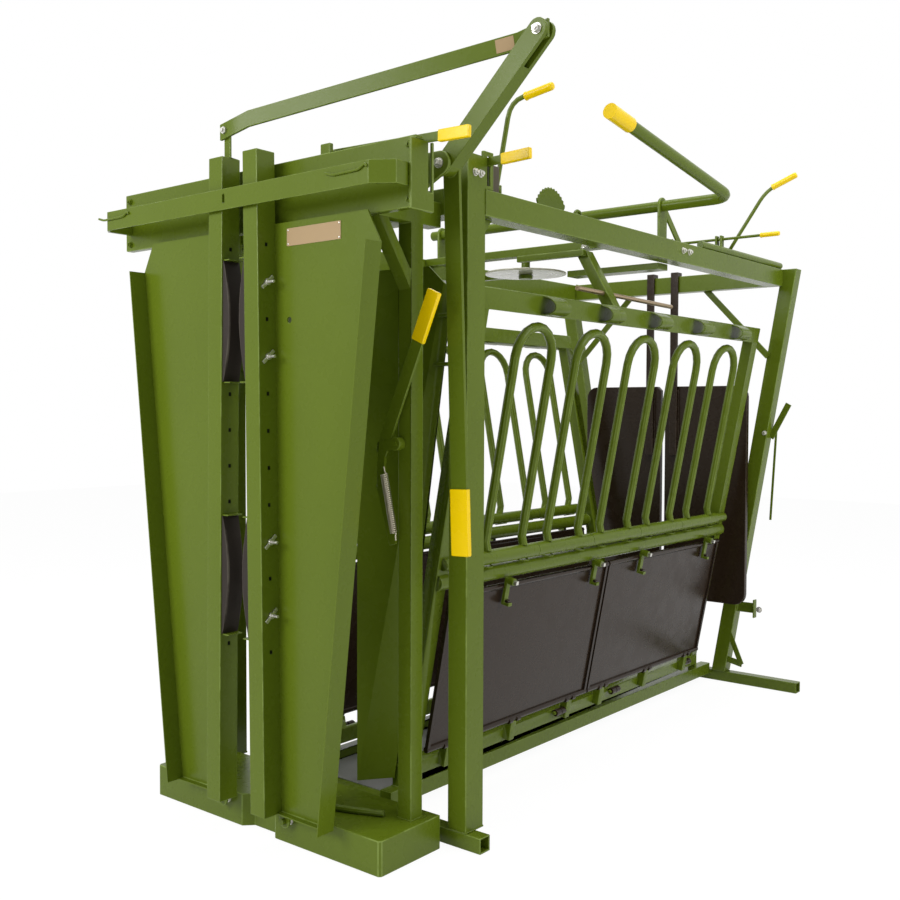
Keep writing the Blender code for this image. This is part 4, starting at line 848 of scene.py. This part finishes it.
sector = bmesh.new()
sector_y, sector_z, sector_radius = 0.845, 2.020, 0.098
outline = arc((sector_y, sector_z), sector_radius, 25, 155, 26)
teeth = []
for i, (y, z) in enumerate(outline):
    reach = 1.0 if i % 2 else 0.94
    teeth.append((sector_y + (y - sector_y) * reach, sector_z + (z - sector_z) * reach))
plate_in(sector, "x", teeth + [(0.780, 2.034), (0.910, 2.034)], 0.5385, 0.5445)
made_up("lever_sector", sector, green_paint, "frame", 0.0005)

brackets = bmesh.new()
block_in(brackets, (0.095, 1.640, 1.926), (0.528, 1.720, 1.9515))
gusset = [(0.398, 1.951), (0.398, 1.862), (0.480, 1.951)]
plate_in(brackets, "x", gusset, 0.558, 0.566)
plate_in(brackets, "x", gusset, -0.566, -0.558)
for bracket_sign in (1, -1):
    bar_in(brackets, "y", (bracket_sign * 0.161, 2.010), (bracket_sign * 0.535, 1.620), 0.030, 2.734, 2.7425)
bar_in(brackets, "y", (0.530, 1.225), (0.618, 1.391), 0.030, 2.7930, 2.7990)
bar_in(brackets, "y", (0.556, 1.262), (0.532, 0.823), 0.012, 2.7995, 2.8025)
bar_in(brackets, "y", (0.280, 0.128), (0.415, 0.100), 0.030, 2.7530, 2.7590)
bar_in(brackets, "y", (0.345, 0.262), (0.415, 0.100), 0.026, 2.7460, 2.7515)
made_up("frame_brackets", brackets, green_paint, "frame", 0.0012)


# ---- Weld beads ------------------------------------------------------------------------------
# Rippled beads round the feet of the posts, where the top beams meet posts and cross beams,
# and round each hoop leg.  A bead is a cord along the joint whose thickness ripples like
# stacked weld pools.  The black hinges of the bottom rails follow, side by side.

def bead_nodes():
    """Edges turned into cords whose thickness ripples like stacked weld pools."""
    group, start, end = geometry_group("weld_beads")
    inputs = {"radius": new_socket(group, "Bead Radius", "NodeSocketFloat", 0.004),
              "pitch": new_socket(group, "Ripple Pitch", "NodeSocketFloat", 0.0016),
              "look": new_socket(group, "Material", "NodeSocketMaterial")}
    curve = group.nodes.new("GeometryNodeMeshToCurve")
    group.links.new(start.outputs["Geometry"], curve.inputs["Mesh"])
    even = group.nodes.new("GeometryNodeResampleCurve")
    even.mode = "LENGTH"
    group.links.new(curve.outputs[0], even.inputs["Curve"])
    group.links.new(start.outputs["Ripple Pitch"], even.inputs["Length"])
    index = group.nodes.new("GeometryNodeInputIndex")
    wave = group.nodes.new("ShaderNodeMath")
    wave.operation = "MODULO"
    wave.inputs[1].default_value = 3.0
    group.links.new(index.outputs[0], wave.inputs[0])
    swell = group.nodes.new("ShaderNodeMapRange")
    for name, number in (("From Min", 0), ("From Max", 2), ("To Min", 0.72), ("To Max", 1.08)):
        swell.inputs[name].default_value = number
    group.links.new(wave.outputs[0], swell.inputs["Value"])
    size = group.nodes.new("ShaderNodeMath")
    size.operation = "MULTIPLY"
    group.links.new(swell.outputs["Result"], size.inputs[0])
    group.links.new(start.outputs["Bead Radius"], size.inputs[1])
    section = group.nodes.new("GeometryNodeCurvePrimitiveCircle")
    section.inputs["Resolution"].default_value = 8
    section.inputs["Radius"].default_value = 1.0
    cord = group.nodes.new("GeometryNodeCurveToMesh")
    group.links.new(even.outputs[0], cord.inputs["Curve"])
    group.links.new(section.outputs["Curve"], cord.inputs["Profile Curve"])
    group.links.new(size.outputs[0], cord.inputs["Scale"])
    cord.inputs["Fill Caps"].default_value = True
    real = group.nodes.new("GeometryNodeRealizeInstances")
    group.links.new(cord.outputs[0], real.inputs["Geometry"])
    paint = group.nodes.new("GeometryNodeSetMaterial")
    group.links.new(real.outputs[0], paint.inputs["Geometry"])
    group.links.new(start.outputs["Material"], paint.inputs["Material"])
    group.links.new(paint.outputs[0], end.inputs["Geometry"])
    return group, inputs


bead_group, bead_inputs = bead_nodes()
rail_hinge_line = (0.040, 0.020)
first_hoop, hoop_pitch, hoop_leg = 0.800, 0.375, 0.108      # along the side, and half a hoop's width
sleeve_out, sleeve_top, ring_radius = 0.030, 0.7065, 0.0265


def beads(name, body, runs, radius=0.004, place=shop):
    """Weld beads on a body, each run a list of points."""
    points = []
    edges = []
    for run in runs:
        first = len(points)
        points += [place @ Vector(point) for point in run]
        edges += [(i, i + 1) for i in range(first, len(points) - 1)]
    mesh = bpy.data.meshes.new(f"{name}_lines")
    mesh.from_pydata(points, edges, [])
    values = {bead_inputs["radius"]: radius, bead_inputs["pitch"]: 0.0016, bead_inputs["look"]: green_paint}
    return grown(name, mesh, bead_group, values, body, 60)


def around(low, high, z):
    """A closed run around a rectangle at one height."""
    return [(low[0], low[1], z), (high[0], low[1], z), (high[0], high[1], z), (low[0], high[1], z),
            (low[0], low[1], z)]


runs = []
for _, sign in sides:
    low_x, high_x = sorted((sign * 0.529, sign * 0.601))
    runs.append(around((low_x, 0.311), (high_x, 0.397), 0.0525))
    runs.append([(sign * 0.6015, 0.3985, 1.955), (sign * 0.6015, 0.3985, 2.032),
                 (sign * 0.529, 0.3985, 2.034)])
    runs.append([(sign * 0.443, 0.1735, 0.107), (sign * 0.497, 0.1735, 0.107),
                 (sign * 0.497, 0.2285, 0.107)])
    runs.append([(sign * 0.528, 0.397, 2.0345), (sign * 0.528, 0.312, 2.0345)])
    runs.append([(sign * 0.528, 2.690, 2.0345), (sign * 0.528, 2.744, 2.0345)])
    for y in (1.568, 1.632):
        runs.append([(sign * 0.533, y, 2.034), (sign * 0.597, y, 2.034)])
beads("frame_beads", "frame", runs, 0.0032)
for side, sign in sides:
    lean = side_space(sign)
    side_runs = []
    for n in range(5):
        y = first_hoop + hoop_pitch * n
        for leg in (-hoop_leg, hoop_leg):
            ring = [(sleeve_out + ring_radius * math.cos(t), y + leg + ring_radius * math.sin(t), sleeve_top)
                    for t in [math.tau * i / 12 for i in range(13)]]
            side_runs.append(ring)
    beads(f"side_beads_{side}", f"side_{side}", side_runs, 0.0024, lean)
    hinges = bmesh.new()
    pins = bmesh.new()
    for y in (0.665, 1.350, 1.781, 2.455):
        hinge_in(hinges, pins, rail_hinge_line, y, 0.032, 0.002, 0.0145, 0.0070, 14, lean)
    made_up(f"rail_hinges_{side}", hinges, black_paint, f"side_{side}", 0.0015)
    made_up(f"rail_hinge_pins_{side}", pins, green_paint, f"side_{side}", 0.0008)
